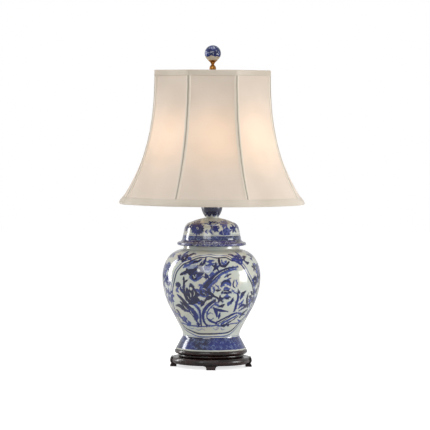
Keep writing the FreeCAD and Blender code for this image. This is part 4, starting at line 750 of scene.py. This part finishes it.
def painted_glaze(name, bands):
    """Clear glaze over cobalt brushwork on a pale greenish body; bands adds the turned borders."""
    material, graph, put = finish_of(name, IOR=1.46, Coat_Roughness=0.04)
    clouds = graph.noise(22.0, 3.0)
    ground = graph.blend(graph.ramp(clouds, 0.42, 0.68), GLAZE_GROUND, GLAZE_WARM)
    specks = graph.ramp(graph.cells(210.0), 0.09, 0.04)
    ground = graph.blend(graph.times(specks, 0.35), ground, paint(120, 110, 90))

    wash = graph.noise(150.0, 3.0, 0.6)
    royal = graph.ramp(graph.noise(16.0, 1.0), 0.42, 0.60)
    dark = graph.blend(graph.times(royal, 0.75), COBALT_DARK, COBALT_ROYAL)
    dark = graph.blend(graph.ramp(wash, 0.52, 0.78, 0.0, 0.7), dark, COBALT_MID)
    mid = graph.blend(graph.ramp(wash, 0.35, 0.7), COBALT_ROYAL, COBALT_MID)
    pale = graph.blend(graph.ramp(wash, 0.35, 0.7), COBALT_MID, COBALT_PALE)

    near = graph.higher(graph.attribute("brush_mid"), graph.attribute("brush_dark"))
    daubs = graph.ramp(graph.cells(260.0, graph.stretched(1.0, 1.0, 0.7)), 0.62, 0.42)
    tufts = graph.ramp(graph.noise(75.0, 1.0), 0.46, 0.54)
    flecks = graph.times(graph.times(daubs, tufts), graph.ramp(near, -2.8, -0.8))
    coloured = graph.blend(graph.times(flecks, 0.8), ground, mid)
    for tone, colour, soft, strength in (("pale", pale, 0.9, 0.6), ("mid", mid, 0.55, 0.95),
                                         ("dark", dark, 0.4, 1.0), ("reserve", ground, 0.4, 0.95)):
        distance = graph.attribute("brush_" + tone)
        mask = graph.effect("brush_edge", Distance=distance, Softness=soft, Wobble=1.5)[0]
        coloured = graph.blend(graph.times(mask, strength), coloured, colour)
    coloured = bands(graph, coloured, ground, dark, mid)
    put("Base Color", coloured)
    put("Roughness", graph.ramp(wash, 0.3, 0.7, 0.10, 0.20))
    put("Coat Weight", graph.ramp(clouds, 0.3, 0.7, 0.7, 0.95))
    put("Normal", graph.bump(graph.noise(60.0, 2.0), 0.00012))
    return material


def within(graph, height, stretch):
    """Mask of a border's stretch of height, with a soft edge."""
    (low, high), soft = stretch, 0.25
    above = graph.ramp(height, (low - soft) * MM, (low + soft) * MM)
    return graph.times(above, graph.ramp(height, (high + soft) * MM, (high - soft) * MM))


def wavering_height(graph):
    """Height on the piece with a slight hand-turned waver."""
    axes = graph.axes()
    tremor = graph.times(graph.minus(graph.noise(45.0, 1.0), 0.5), 0.0011)
    return graph.plus(axes["Z"], tremor)


def bearing_cells(graph, count):
    """How many cells round the axis a point lies from the front, out of count."""
    axes = graph.axes()
    angle = graph.calc("ARCTAN2", axes["X"], graph.times(axes["Y"], -1.0))
    return graph.times(angle, count / FULL_TURN)


def scroll_border(graph, height, stretch, count, tremble=0.5, rows=1):
    """Running scroll over a border's stretch of height, bent a little by hand."""
    low, high = stretch
    waver = graph.times(graph.minus(graph.noise(70.0, 2.0), 0.5), tremble)
    across = graph.plus(bearing_cells(graph, count), waver)
    up = graph.calc("DIVIDE", graph.minus(height, low * MM), (high - low) * MM / rows)
    up = graph.calc("FRACT", graph.plus(up, waver))
    return graph.effect("running_scroll", Across=across, Up=up)["Lines"]


def jar_bands(graph, coloured, ground, dark, mid):
    """Panel lines, the scrolled foot and the thin lines about it."""
    edge = graph.attribute("panel_edge")
    for offset, wide, share, colour in ((0.0, 1.9, 0.95, dark), (-6.4, 1.15, 0.9, mid)):
        from_line = graph.calc("ABSOLUTE", graph.minus(edge, offset))
        off_line = graph.minus(wide, from_line)
        mask = graph.effect("brush_edge", Distance=off_line, Softness=0.35, Wobble=1.1)[0]
        coloured = graph.blend(graph.times(mask, share), coloured, colour)
    height = wavering_height(graph)
    coloured = graph.blend(within(graph, height, LINE_OVER_FOOT), coloured, mid)
    scroll = scroll_border(graph, height, FOOT_SCROLL, 34, 0.8, 2)
    worn = graph.times(scroll, graph.ramp(graph.noise(150.0, 2.0), 0.38, 0.62, 0.05, 0.7))
    border = graph.blend(worn, dark, COBALT_PALE)
    return graph.blend(within(graph, height, FOOT_BORDER), coloured, border)


def lid_bands(graph, coloured, ground, dark, mid):
    """Scrolled borders of the flange and the cove, the line above them, and the petalled knob."""
    height = wavering_height(graph)
    worn = graph.ramp(graph.noise(220.0, 2.0), 0.35, 0.6, 0.1, 0.75)
    cove_lines = graph.times(scroll_border(graph, height, COVE_SCROLL, 34), worn)
    cove = graph.blend(cove_lines, dark, COBALT_PALE)
    plum = graph.blend(graph.ramp(graph.noise(60.0, 2.0), 0.4, 0.62), dark, paint(52, 52, 118))
    flange_lines = graph.times(scroll_border(graph, height, FLANGE_SCROLL, 30, 0.9), worn)
    flange = graph.blend(flange_lines, plum, paint(182, 188, 196))
    for stretch, colour in ((COVE_BORDER, cove), (FLANGE_BORDER, flange), (LINE_OVER_COVE, mid)):
        coloured = graph.blend(within(graph, height, stretch), coloured, colour)

    petals = bearing_cells(graph, KNOB_PETALS)
    arch = graph.calc("ABSOLUTE", graph.minus(graph.calc("FRACT", petals), 0.5))
    brim = graph.calc("MULTIPLY_ADD", graph.times(arch, arch), 0.020, KNOB_BRIM)
    above = graph.ramp(graph.minus(height, brim), -0.0003, 0.0003)
    under = graph.ramp(graph.minus(height, brim), -0.0032, -0.0006)
    dots = graph.ramp(graph.cells(330.0), 0.20, 0.10)
    knob = graph.blend(graph.times(dots, 0.7), COBALT_DARK, COBALT_PALE)
    coloured = graph.blend(graph.times(under, 0.75), coloured, COBALT_MID)
    coloured = graph.blend(above, coloured, knob)
    return graph.blend(within(graph, height, KNOB_RING), coloured, COBALT_PALE)


PICTURE = (PLUM_BRANCH, TOP_BLOSSOMS, LONG_TAILED_BIRD, GARDEN_ROCK, BENDING_STEMS, RIGHT_FLOWERS,
           RIGHT_LEAVES, GROUND, [blue((0.8, 2.4, 0.8), (-73, 178), (-75, 173), (-71, 169))])
# Flowers set into the picture: the motif, its place across and up, and its size.
PICTURE_FLOWERS = (
    (BLOSSOM, -28.4, 219, 1.5), (PEONY, -36, 205, 0.75), (BLOSSOM, -10, 224, 1.0),
    (BLOSSOM, -58.5, 108.5, 1.0),
    (LEAF_STAR, 19.3, 156, 0.9), (ring_of(9, 0.5, 5.6, 2.0, "dark"), -72.6, 185.2, 1.0),
    (loop(7.7, 0.8, "mid", 40, 290), -1.8, 117, 1.0))
# Flowers between the panels: the motif, whether it faces the other way, its place and its size.
SIDE_FLOWERS = (
    (SIDE_SPRAY, False, 0, 0, 1.0), (PEONY, False, 1, 212, 1.5), (CHRYSANTHEMUM, False, -22, 192, 0.95),
    (PEONY, False, 21, 184, 1.2), (SPRIG, False, -18, 166, 1.0), (SPRIG, True, 16, 150, 1.0),
    (BLOSSOM, False, -3, 120, 1.6), (LEAF_STAR, False, 20, 219, 1.1), (LEAF_STAR, False, -20, 222, 1.0))


def jar():
    """Jar with its panelled picture front and back, and sprays between the panels."""
    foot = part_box("jar_body")[0].z / MM
    belly = (107.8, 163.5)
    outer = [
        (74.8, 0.0), (74.8, 2.6), (76.8, 2.6, 1.54, 1),
        (76.8, 5.6), (66.0, 26.0, upright_arc(62.7, 33.5, 66.0, 26.0), -1),
        (62.7, 33.5, upright_arc(62.7, 33.5, 66.0, 47.0), -1), (66.0, 47.0),
        (88.0, 88.5, upright_arc(*belly, 88.0, 88.5), 1),
        (*belly, upright_arc(*belly, 99.0, 198.5), 1), (99.0, 198.5, 46.0, 1),
        (66.0, 222.3, upright_arc(61.6, 226.3, 66.0, 222.3), -1), (61.6, 226.3), (61.6, 245.5)]
    inner = [(55.6, 245.5), (55.6, 216.3), (90.0, 195.0), (101.8, 163.5), (96.0, 120.0), (82.0, 88.5),
             (60.0, 47.0), (56.7, 33.5), (56.7, 12.5), (6.5, 12.5), (6.5, 4.5), (65.8, 4.5), (65.8, 0.0)]
    painted = outline(outer + [inner[0]], 1.75)
    cut = painted.index(outer[-1]) + 1
    section = [(across * MM, (up + foot) * MM) for across, up in painted[:cut] + inner]
    bm = turned(section, 560)
    piece = finished("painted_jar", bm, "base", "painted_porcelain", painted_glaze("jar_glaze", jar_bands),
                     "jar_body")
    painter = Painter(piece, section[4:cut])
    painter.panel(PANEL, (0, 180))
    for turn, mirrored in ((0, False), (180, False)):
        for strokes in PICTURE:
            painter.motif(strokes, turn, mirrored)
        for flower, across, up, size in PICTURE_FLOWERS:
            painter.motif(flower, turn, mirrored, across, up, size)
    for turn in (-40, 140):
        painter.motif(SPRIG, turn, False, 0, 243, 1.35)
        painter.motif(SPRIG, turn + 80, True, 0, 242, 1.35)
        painter.motif(PEONY, turn + 80, True, 3, 240, 0.95)
        painter.motif(CHRYSANTHEMUM, turn, False, 2, 243, 0.7)
    for turn in (74, 106, 254, 286):
        for flower, other_way, across, up, size in SIDE_FLOWERS:
            painter.motif(flower, turn, (turn > 180) != other_way, across, up, size)
        painter.motif(SPRIG, turn, False, 0, 247, 1.0)
    painter.finish()


LID_FLOWERS = [
    navy((0.8, 1.8, 1.2, 0.6), (-2, 321), (-4, 317), (-1, 312), (1, 306)),
    navy((0.8, 2.4, 0.8), (-6, 322), (-2, 320), (4, 322)),
    navy((0.8, 2.2, 0.8), (3, 318), (8, 320.5), (13, 319)),
    navy((0.7, 2.2, 0.8), (1, 310), (7, 311), (15, 312.5)),
    navy((0.7, 2.0, 0.8), (3, 305), (9, 303), (14, 307)),
    blue((0.7, 1.2, 0.6), (-1, 306), (-3, 300), (1, 295)),
    blue((0.6, 1.2, 0.6), (-10, 304), (-13, 300), (-9, 296)),
    navy((0.8, 2.8, 0.8), (22, 302), (20, 297), (24, 293.5)),
    navy((0.8, 3.0, 1.0), (40, 309), (42, 305), (39, 300)),
    blue((0.7, 1.8, 0.6), (47, 312), (49, 307), (48, 302)),
    tint((2.0, 4.0, 2.0), (20, 317), (26, 318), (32, 315)),
    navy((0.6, 2.4, 0.6), (54, 311), (58, 305), (60, 298)),
    blue((0.5, 0.8, 0.8, 0.5), (-24, 318), (-12, 317), (0, 313.5), (10, 316), (19, 321)),
]


def lid():
    """Domed lid with its flared knob, painted all round."""
    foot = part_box("jar_lid")[0].z / MM
    tip = 73.5
    outer = [
        (62.6, 0.0), (tip, 0.0, 3.7, 1), (tip, 7.0, upright_arc(64.6, 16.0, tip, 7.0), -1), (64.6, 16.0),
        (60.0, 36.0, 17.0, 1), (46.0, 50.5, 110.0, 1), (15.5, 60.0), (15.5, 63.5, 40.0, 1),
        (23.4, 84.0, 15.5, 1), (18.0, 98.0)]
    inner = [(6.5, 98.0), (6.5, 50.5), (40.0, 44.5), (54.0, 36.0), (55.6, 14.0), (62.6, 14.0)]
    painted = outline(outer + [(6.5, 98.0)], 1.1)
    cut = painted.index((18.0, 98.0)) + 1
    section = [(across * MM, (up + foot) * MM) for across, up in painted[:cut] + inner]
    piece = finished("painted_lid", turned(section, 440), "base", "painted_porcelain",
                     painted_glaze("lid_glaze", lid_bands), "jar_lid")
    painter = Painter(piece, [point for point in section[:cut] if point[1] > (foot + 7.5) * MM])
    for turn in (0, 120, 240):
        painter.motif(LID_FLOWERS, turn)
        for flower, aside, across, up, size in (
                (CHRYSANTHEMUM, 0, -31, 307, 1.15), (BLOSSOM, 0, 33, 300.5, 1.35),
                (ring_of(6, 0.5, 7.0, 2.6, "mid", 15), 0, 27, 317, 1.1), (LEAF_STAR, 0, 10, 306, 0.8),
                (LEAF_STAR, 54, 0, 306, 1.1), (PEONY, 66, 6, 314, 0.8)):
            painter.motif(flower, turn + aside, False, across, up, size)
    painter.finish()


def painted_ball():
    """Ball of the finial: a blue floral crown over a plain pale underside."""
    material, graph, put = finish_of("ball_glaze", IOR=1.46, Coat_Roughness=0.05)
    height = wavering_height(graph)
    flowers = graph.cells(190.0, randomness=0.8)
    petals = graph.cells(560.0)
    crown = graph.ramp(graph.plus(height, graph.times(flowers, 0.006)), 0.6845, 0.6865)
    clouds = graph.noise(60.0, 3.0)
    cobalt = graph.blend(graph.ramp(clouds, 0.4, 0.65), paint(14, 22, 78), paint(40, 62, 138))
    light = graph.ramp(graph.plus(flowers, graph.times(petals, 0.45)), 0.62, 0.45)
    mottled = graph.blend(graph.times(light, 0.65), cobalt, paint(176, 184, 196))
    body = graph.blend(graph.ramp(clouds, 0.4, 0.7), paint(206, 200, 184), paint(190, 180, 160))
    put("Base Color", graph.blend(crown, body, mottled))
    put("Roughness", graph.ramp(clouds, 0.3, 0.7, 0.08, 0.2))
    put("Coat Weight", graph.ramp(clouds, 0.3, 0.7, 0.25, 0.45))
    put("Normal", graph.bump(clouds, 0.0001))
    finish_node("finial_ball", material)


# ------------------------------------------------------------------ bell shade

SIDES = 8
GORE = FULL_TURN / SIDES
TOP_APOTHEM, FLARE, BELL_POWER = 125.6 * MM, 76.5 * MM, 2.55
ROUND_IN, ROUND_POWER = 0.062, 3.0
COVER_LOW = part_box("shade_cover")[0].z
COVER_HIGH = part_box("shade_cover")[1].z
SHADE_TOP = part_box("shade_top_trim")[1].z
SHADE_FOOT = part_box("shade_bottom_trim")[0].z
STACK = 4.7 * MM                    # cover to the lining's inner face, over the ring


def bell(height):
    """Apothem of the cover's outer face at a height."""
    share = max(0.0, (SHADE_TOP - height) / (SHADE_TOP - COVER_LOW))
    return TOP_APOTHEM + FLARE * share ** BELL_POWER


def gore_radius(apothem, height, angle):
    """Distance from the axis to the eight-sided section, whose sides bow out towards the rim."""
    share = min(1.0, max(0.0, (SHADE_TOP - height) / (SHADE_TOP - COVER_LOW)))
    corner = apothem * (1 / math.cos(GORE / 2) - ROUND_IN * share ** ROUND_POWER)
    off = (angle + GORE / 2) % GORE - GORE / 2
    bow = (apothem - corner * math.cos(GORE / 2)) / (corner * math.sin(GORE / 2)) ** 2 * math.tan(off) ** 2
    across = apothem if abs(bow) < 1e-9 else (math.sqrt(1 + 4 * bow * apothem) - 1) / (2 * bow)
    return across / math.cos(off)


def to_gores(bm, ripple=0.0):
    """Draw a round ring in to the eight-sided bell, with faint puckers beside the seams."""
    for vert in bm.verts:
        angle = math.atan2(vert.co.y, vert.co.x)
        radius = gore_radius(math.hypot(vert.co.x, vert.co.y), vert.co.z, angle)
        if ripple:
            from_seam = GORE / 2 - abs((angle + GORE / 2) % GORE - GORE / 2)
            pull = math.exp(-from_seam * radius / 0.014)
            pucker = noise.noise(Vector((angle * 9.0, vert.co.z * 95.0, 0.0)))
            soft = noise.noise(Vector((math.cos(angle) * 3.1, math.sin(angle) * 3.1, vert.co.z * 9.0)))
            radius += ripple * (pucker * pull + soft * 0.8 * (1 - pull))
        vert.co.x, vert.co.y = radius * math.cos(angle), radius * math.sin(angle)


def lay_cloth_map(piece):
    """UV map in metres for the weave: across each gore from its middle, and up."""
    mesh = piece.data
    uv = mesh.uv_layers.new(name="cloth")
    for polygon in mesh.polygons:
        centre = polygon.center
        middle = math.atan2(centre.y, centre.x)
        gore = round(middle / GORE) * GORE
        for corner in polygon.loop_indices:
            place = mesh.vertices[mesh.loops[corner].vertex_index].co
            angle = math.atan2(place.y, place.x) - gore
            angle = (angle + math.pi) % FULL_TURN - math.pi
            uv.data[corner].uv = (math.hypot(place.x, place.y) * angle, place.z)


def shade_cloth(name, light, shaded, glow, sheen, pitch, glow_reach):
    """Satin stretched on the frame, with a painted warm glow where the bulb is behind it."""
    material, graph, put = finish_of(
        name, Sheen_Weight=sheen, Sheen_Roughness=0.35, Emission_Strength=1.0, Specular_IOR_Level=0.3)
    place = graph.axes(graph.node("UVMap", uv_map="cloth").outputs[0])
    cloth = graph.effect("woven_cloth", Across=place["X"], Up=place["Y"], Pitch=pitch)
    clouds = graph.noise(9.0, 2.0)
    base = graph.blend(graph.ramp(clouds, 0.35, 0.7), light, shaded)
    base = graph.blend(graph.times(cloth["Shade"], 0.35), base, shaded)
    put("Base Color", base)
    put("Roughness", graph.ramp(cloth["Shade"], 0.0, 1.0, 0.52, 0.68))
    # Painted glow of the bulb shining through the cloth: emission in a band about the bulb's height,
    # strongest mid-gore and faint elsewhere.
    height = graph.axes()["Z"]
    off = graph.calc("DIVIDE", graph.minus(height, BULB_HEIGHT), glow_reach)
    band = graph.calc("EXPONENT", graph.times(graph.times(off, off), -1.0))
    mid_gore = graph.calc("ABSOLUTE", place["X"])
    band = graph.times(band, graph.ramp(mid_gore, 0.08, 0.0, 0.6, 1.0))
    band = graph.times(band, graph.ramp(graph.noise(14.0, 2.0), 0.2, 0.8, 0.8, 1.1))
    put("Emission Color", graph.blend(band, paint(6, 5, 4), glow))
    put("Normal", graph.bump(cloth["Height"], 0.00008, 0.6))
    return material


def skin(name, out, thick, low, high, material, slot, node, ripple):
    """Cloth stretched round the bell between two heights, out from the cover's own line."""
    rows = 48
    heights = [low + (high - low) * row / rows for row in range(rows + 1)]
    section = [(bell(height) + out, height) for height in heights]
    section += [(bell(height) + out - thick, height) for height in reversed(heights)]
    bm = turned(section, SIDES * 28)
    to_gores(bm, ripple)
    piece = finished(name, bm, "shade", slot, material, node)
    lay_cloth_map(piece)
    return piece


def tape_section(points):
    """Smooth closed section through (out from the bell, height) points."""
    return [tuple(point) for point in smooth_run(points + points[:1], 5)[:-1]]


def taped_ring(name, points, material, node, ripple):
    """Folded band that runs round a rim, from its section about the bell's line."""
    section = [(bell(height) + out * MM, height) for out, height in
               [(out, up * MM) for out, up in tape_section(points)]]
    bm = turned(section, SIDES * 32)
    to_gores(bm, ripple)
    piece = finished(name, bm, "shade", "shade_trim_fabric", material, node)
    lay_cloth_map(piece)
    return piece


def seam_strips(material):
    """Double-folded strips over the seams: two rolled edges with a stitched valley between."""
    low = SHADE_FOOT + 16.2 * MM
    high = SHADE_TOP - 12.7 * MM
    fold = [(5.5, 0.15), (5.25, 0.75), (4.3, 1.15), (3.2, 1.2), (2.1, 1.05), (1.1, 0.7), (0.45, 0.38)]
    profile = [(-across, out) for across, out in fold] + [(0.0, 0.3)] + fold[::-1]
    profile += [(across, 0.1) for across in (3.6, 1.8, 0.0, -1.8, -3.6)]
    bm = bmesh.new()
    ring = [bm.verts.new((across * MM, out * MM, low)) for across, out in profile]
    edges = [bm.edges.new(pair) for pair in zip(ring, ring[1:] + ring[:1])]
    bmesh.ops.contextual_create(bm, geom=edges)
    rows = 90
    for _ in range(rows):
        made = bmesh.ops.extrude_edge_only(bm, edges=edges)["geom"]
        edges = [item for item in made if isinstance(item, bmesh.types.BMEdge) and
                 all(vert in made for vert in item.verts)]
        edges = [edge for edge in edges if len(edge.link_faces) == 1]
        bmesh.ops.translate(bm, verts=list({vert for edge in edges for vert in edge.verts}),
                            vec=(0, 0, (high - low) / rows))
    bmesh.ops.contextual_create(bm, geom=edges)
    bmesh.ops.recalc_face_normals(bm, faces=bm.faces)
    one = list(bm.verts) + list(bm.edges) + list(bm.faces)
    for _ in range(SIDES - 1):
        bmesh.ops.duplicate(bm, geom=one)
    size = len(bm.verts) // SIDES
    valley = bm.verts.layers.float.new("from_valley")
    for index, vert in enumerate(bm.verts):
        across, out, height = vert.co
        vert[valley] = abs(across) / MM
        seam = GORE / 2 + GORE * (index // size)
        flutter = noise.noise(Vector((seam * 5.0, height * 60.0, 0.0))) * 0.35 * MM
        apothem = bell(height) + out
        angle = seam + (across + flutter) / (apothem / math.cos(GORE / 2))
        radius = gore_radius(apothem, height, angle)
        vert.co = (radius * math.cos(angle), radius * math.sin(angle), height)
    piece = finished("seam_strips", bm, "shade", "shade_trim_fabric", material, "shade_seam_trims")
    lay_cloth_map(piece)
    return piece


def trim_cloth(name, valley=False):
    """Folded satin tape with a faint painted glow; over a seam it has painted shade in the stitched valley
    along its middle and painted highlights on its rolled edges.
    """
    # paint(44, 34, 24) is the tape's faint painted glow from the bulb.
    material = shade_cloth(name, paint(220, 209, 194), paint(203, 191, 174), paint(44, 34, 24), 0.2,
                           0.0007, 0.09)
    if valley:
        graph = Graph(material.node_tree)
        shader = material.node_tree.nodes["Principled BSDF"]
        plain = shader.inputs["Base Color"].links[0].from_socket
        # Painted shade darkens the stitched valley; painted highlights lighten the rolled edges beside it.
        fold = graph.ramp(graph.attribute("from_valley"), 1.5, 0.5)
        rolled = graph.ramp(graph.attribute("from_valley"), 2.0, 4.2)
        edge = graph.blend(rolled, plain, paint(236, 224, 208))
        graph.feed(shader.inputs["Base Color"], graph.blend(fold, edge, paint(158, 149, 134)))
    return material


def shade():
    """Cover, lining, folded bands and seam strips of the bell shade."""
    # Each cloth's third colour is its painted glow from the bulb behind it.
    cover_cloth = shade_cloth("cover_satin", paint(228, 213, 198), paint(217, 202, 186),
                              paint(158, 122, 86), 0.2, 0.0006, 0.07)
    lining_cloth = shade_cloth("lining_cloth", paint(236, 230, 218), paint(222, 214, 200),
                               paint(140, 108, 74), 0.1, 0.0009, 0.075)
    tape = trim_cloth("trim_satin")
    cover = skin("shade_cover_cloth", 0.0, 0.8 * MM, COVER_LOW, COVER_HIGH, cover_cloth,
                 "shade_fabric", "shade_cover", 0.35 * MM)
    lining = skin("shade_lining_cloth", 0.5 * MM - STACK, 0.5 * MM, COVER_LOW, COVER_HIGH - 3.2 * MM,
                  lining_cloth, "shade_lining_fabric", "shade_lining", 0.25 * MM)
    top, foot = SHADE_TOP / MM, SHADE_FOOT / MM
    upper = taped_ring("upper_band", [
        (0.4, top - 12.3), (1.3, top - 12.0), (1.25, top - 8.0), (1.3, top - 3.0), (1.1, top - 0.9),
        (-0.4, top - 0.1), (-3.4, top - 0.05), (-5.4, top - 0.8), (-5.9, top - 3.0), (-5.9, top - 12.0),
        (-5.1, top - 12.3), (-5.0, top - 3.6), (-4.2, top - 1.1), (-0.6, top - 1.1), (0.35, top - 3.4)],
        tape, "shade_top_trim", 0.2 * MM)
    lower = taped_ring("lower_band", [
        (0.35, foot + 15.8), (0.9, foot + 15.4), (1.7, foot + 12.0), (2.0, foot + 8.5), (1.5, foot + 5.0),
        (0.4, foot + 2.2), (-1.6, foot + 0.4), (-3.4, foot + 0.5), (-5.2, foot + 2.4), (-5.8, foot + 5.5),
        (-5.8, foot + 12.0), (-5.3, foot + 15.4), (-4.9, foot + 15.2), (-4.9, foot + 6.0),
        (-4.2, foot + 2.6), (-0.4, foot + 2.6), (0.3, foot + 5.6)],
        tape, "shade_bottom_trim", 0.25 * MM)
    strips = seam_strips(trim_cloth("seam_satin", True))


# ------------------------------------------------------------------ studio

def studio():
    """Pale floor, soft boxes, a white surround, and the camera at eye level across the room."""
    scene = bpy.context.scene
    scene.view_settings.view_transform = "Standard"
    world = bpy.data.worlds.new("surround")
    scene.world = world
    world.use_nodes = True
    graph = Graph(world.node_tree)
    background = world.node_tree.nodes["Background"]
    path = graph.node("LightPath")
    seen = graph.higher(path.outputs["Is Camera Ray"], path.outputs["Is Transmission Ray"])
    seen = graph.higher(seen, graph.times(path.outputs["Is Glossy Ray"], 0.4))
    graph.feed(background.inputs["Strength"], graph.ramp(seen, 0.0, 1.0, 0.38, 1.0))
    background.inputs["Color"].default_value = (1.0, 1.0, 1.0, 1.0)

    bm = bmesh.new()
    bmesh.ops.create_grid(bm, x_segments=1, y_segments=1, size=6.0)
    bmesh.ops.translate(bm, verts=bm.verts, vec=(0, 0, -0.0002))
    mesh = bpy.data.meshes.new("floor")
    bm.to_mesh(mesh)
    bm.free()
    floor = bpy.data.objects.new("floor", mesh)
    scene.collection.objects.link(floor)
    material, graph, put = finish_of("floor_paper", Roughness=0.9, Specular_IOR_Level=0.1,
                                     Emission_Color=(1.0, 1.0, 1.0, 1.0))
    put("Base Color", graph.blend(graph.noise(30.0, 2.0), paint(226, 226, 226), paint(232, 232, 232)))
    path = graph.node("LightPath")
    put("Emission Strength", graph.times(path.outputs["Is Camera Ray"], 0.72))
    mesh.materials.append(material)

    for name, place, aim, size, power in (
            ("right_box", (1.45, -0.28, 0.30), (0.0, 0.0, 0.22), (0.62, 0.72), 11.0),
            ("left_box", (-1.35, 0.55, 0.52), (0.0, 0.0, 0.28), (0.34, 1.10), 9.0),
            ("front_fill", (-0.9, -2.6, 1.7), (0.0, 0.0, 0.40), (1.6, 1.2), 23.0),
            ("overhead", (0.1, -0.2, 2.2), (0.0, 0.0, 0.3), (1.4, 1.4), 12.0)):
        data = bpy.data.lights.new(name, "AREA")
        data.shape = "RECTANGLE"
        data.size, data.size_y = size
        data.energy = power
        lamp = bpy.data.objects.new(name, data)
        lamp.location = place
        lamp.rotation_euler = (Vector(aim) - Vector(place)).to_track_quat("-Z", "Y").to_euler()
        scene.collection.objects.link(lamp)

    eye, aim, roll = Vector((0.0070, -5.5, 0.570)), Vector((0.0070, 0.0, 0.334)), 0.35
    data = bpy.data.cameras.new("camera")
    data.sensor_width = 36.0
    data.lens = 209.3
    camera = bpy.data.objects.new("camera", data)
    camera.location = eye
    camera.rotation_euler = (aim - eye).to_track_quat("-Z", "Y").to_euler()
    camera.rotation_euler.rotate_axis("Z", math.radians(roll))
    scene.collection.objects.link(camera)
    scene.camera = camera


jar()
lid()
painted_ball()
shade()
studio()
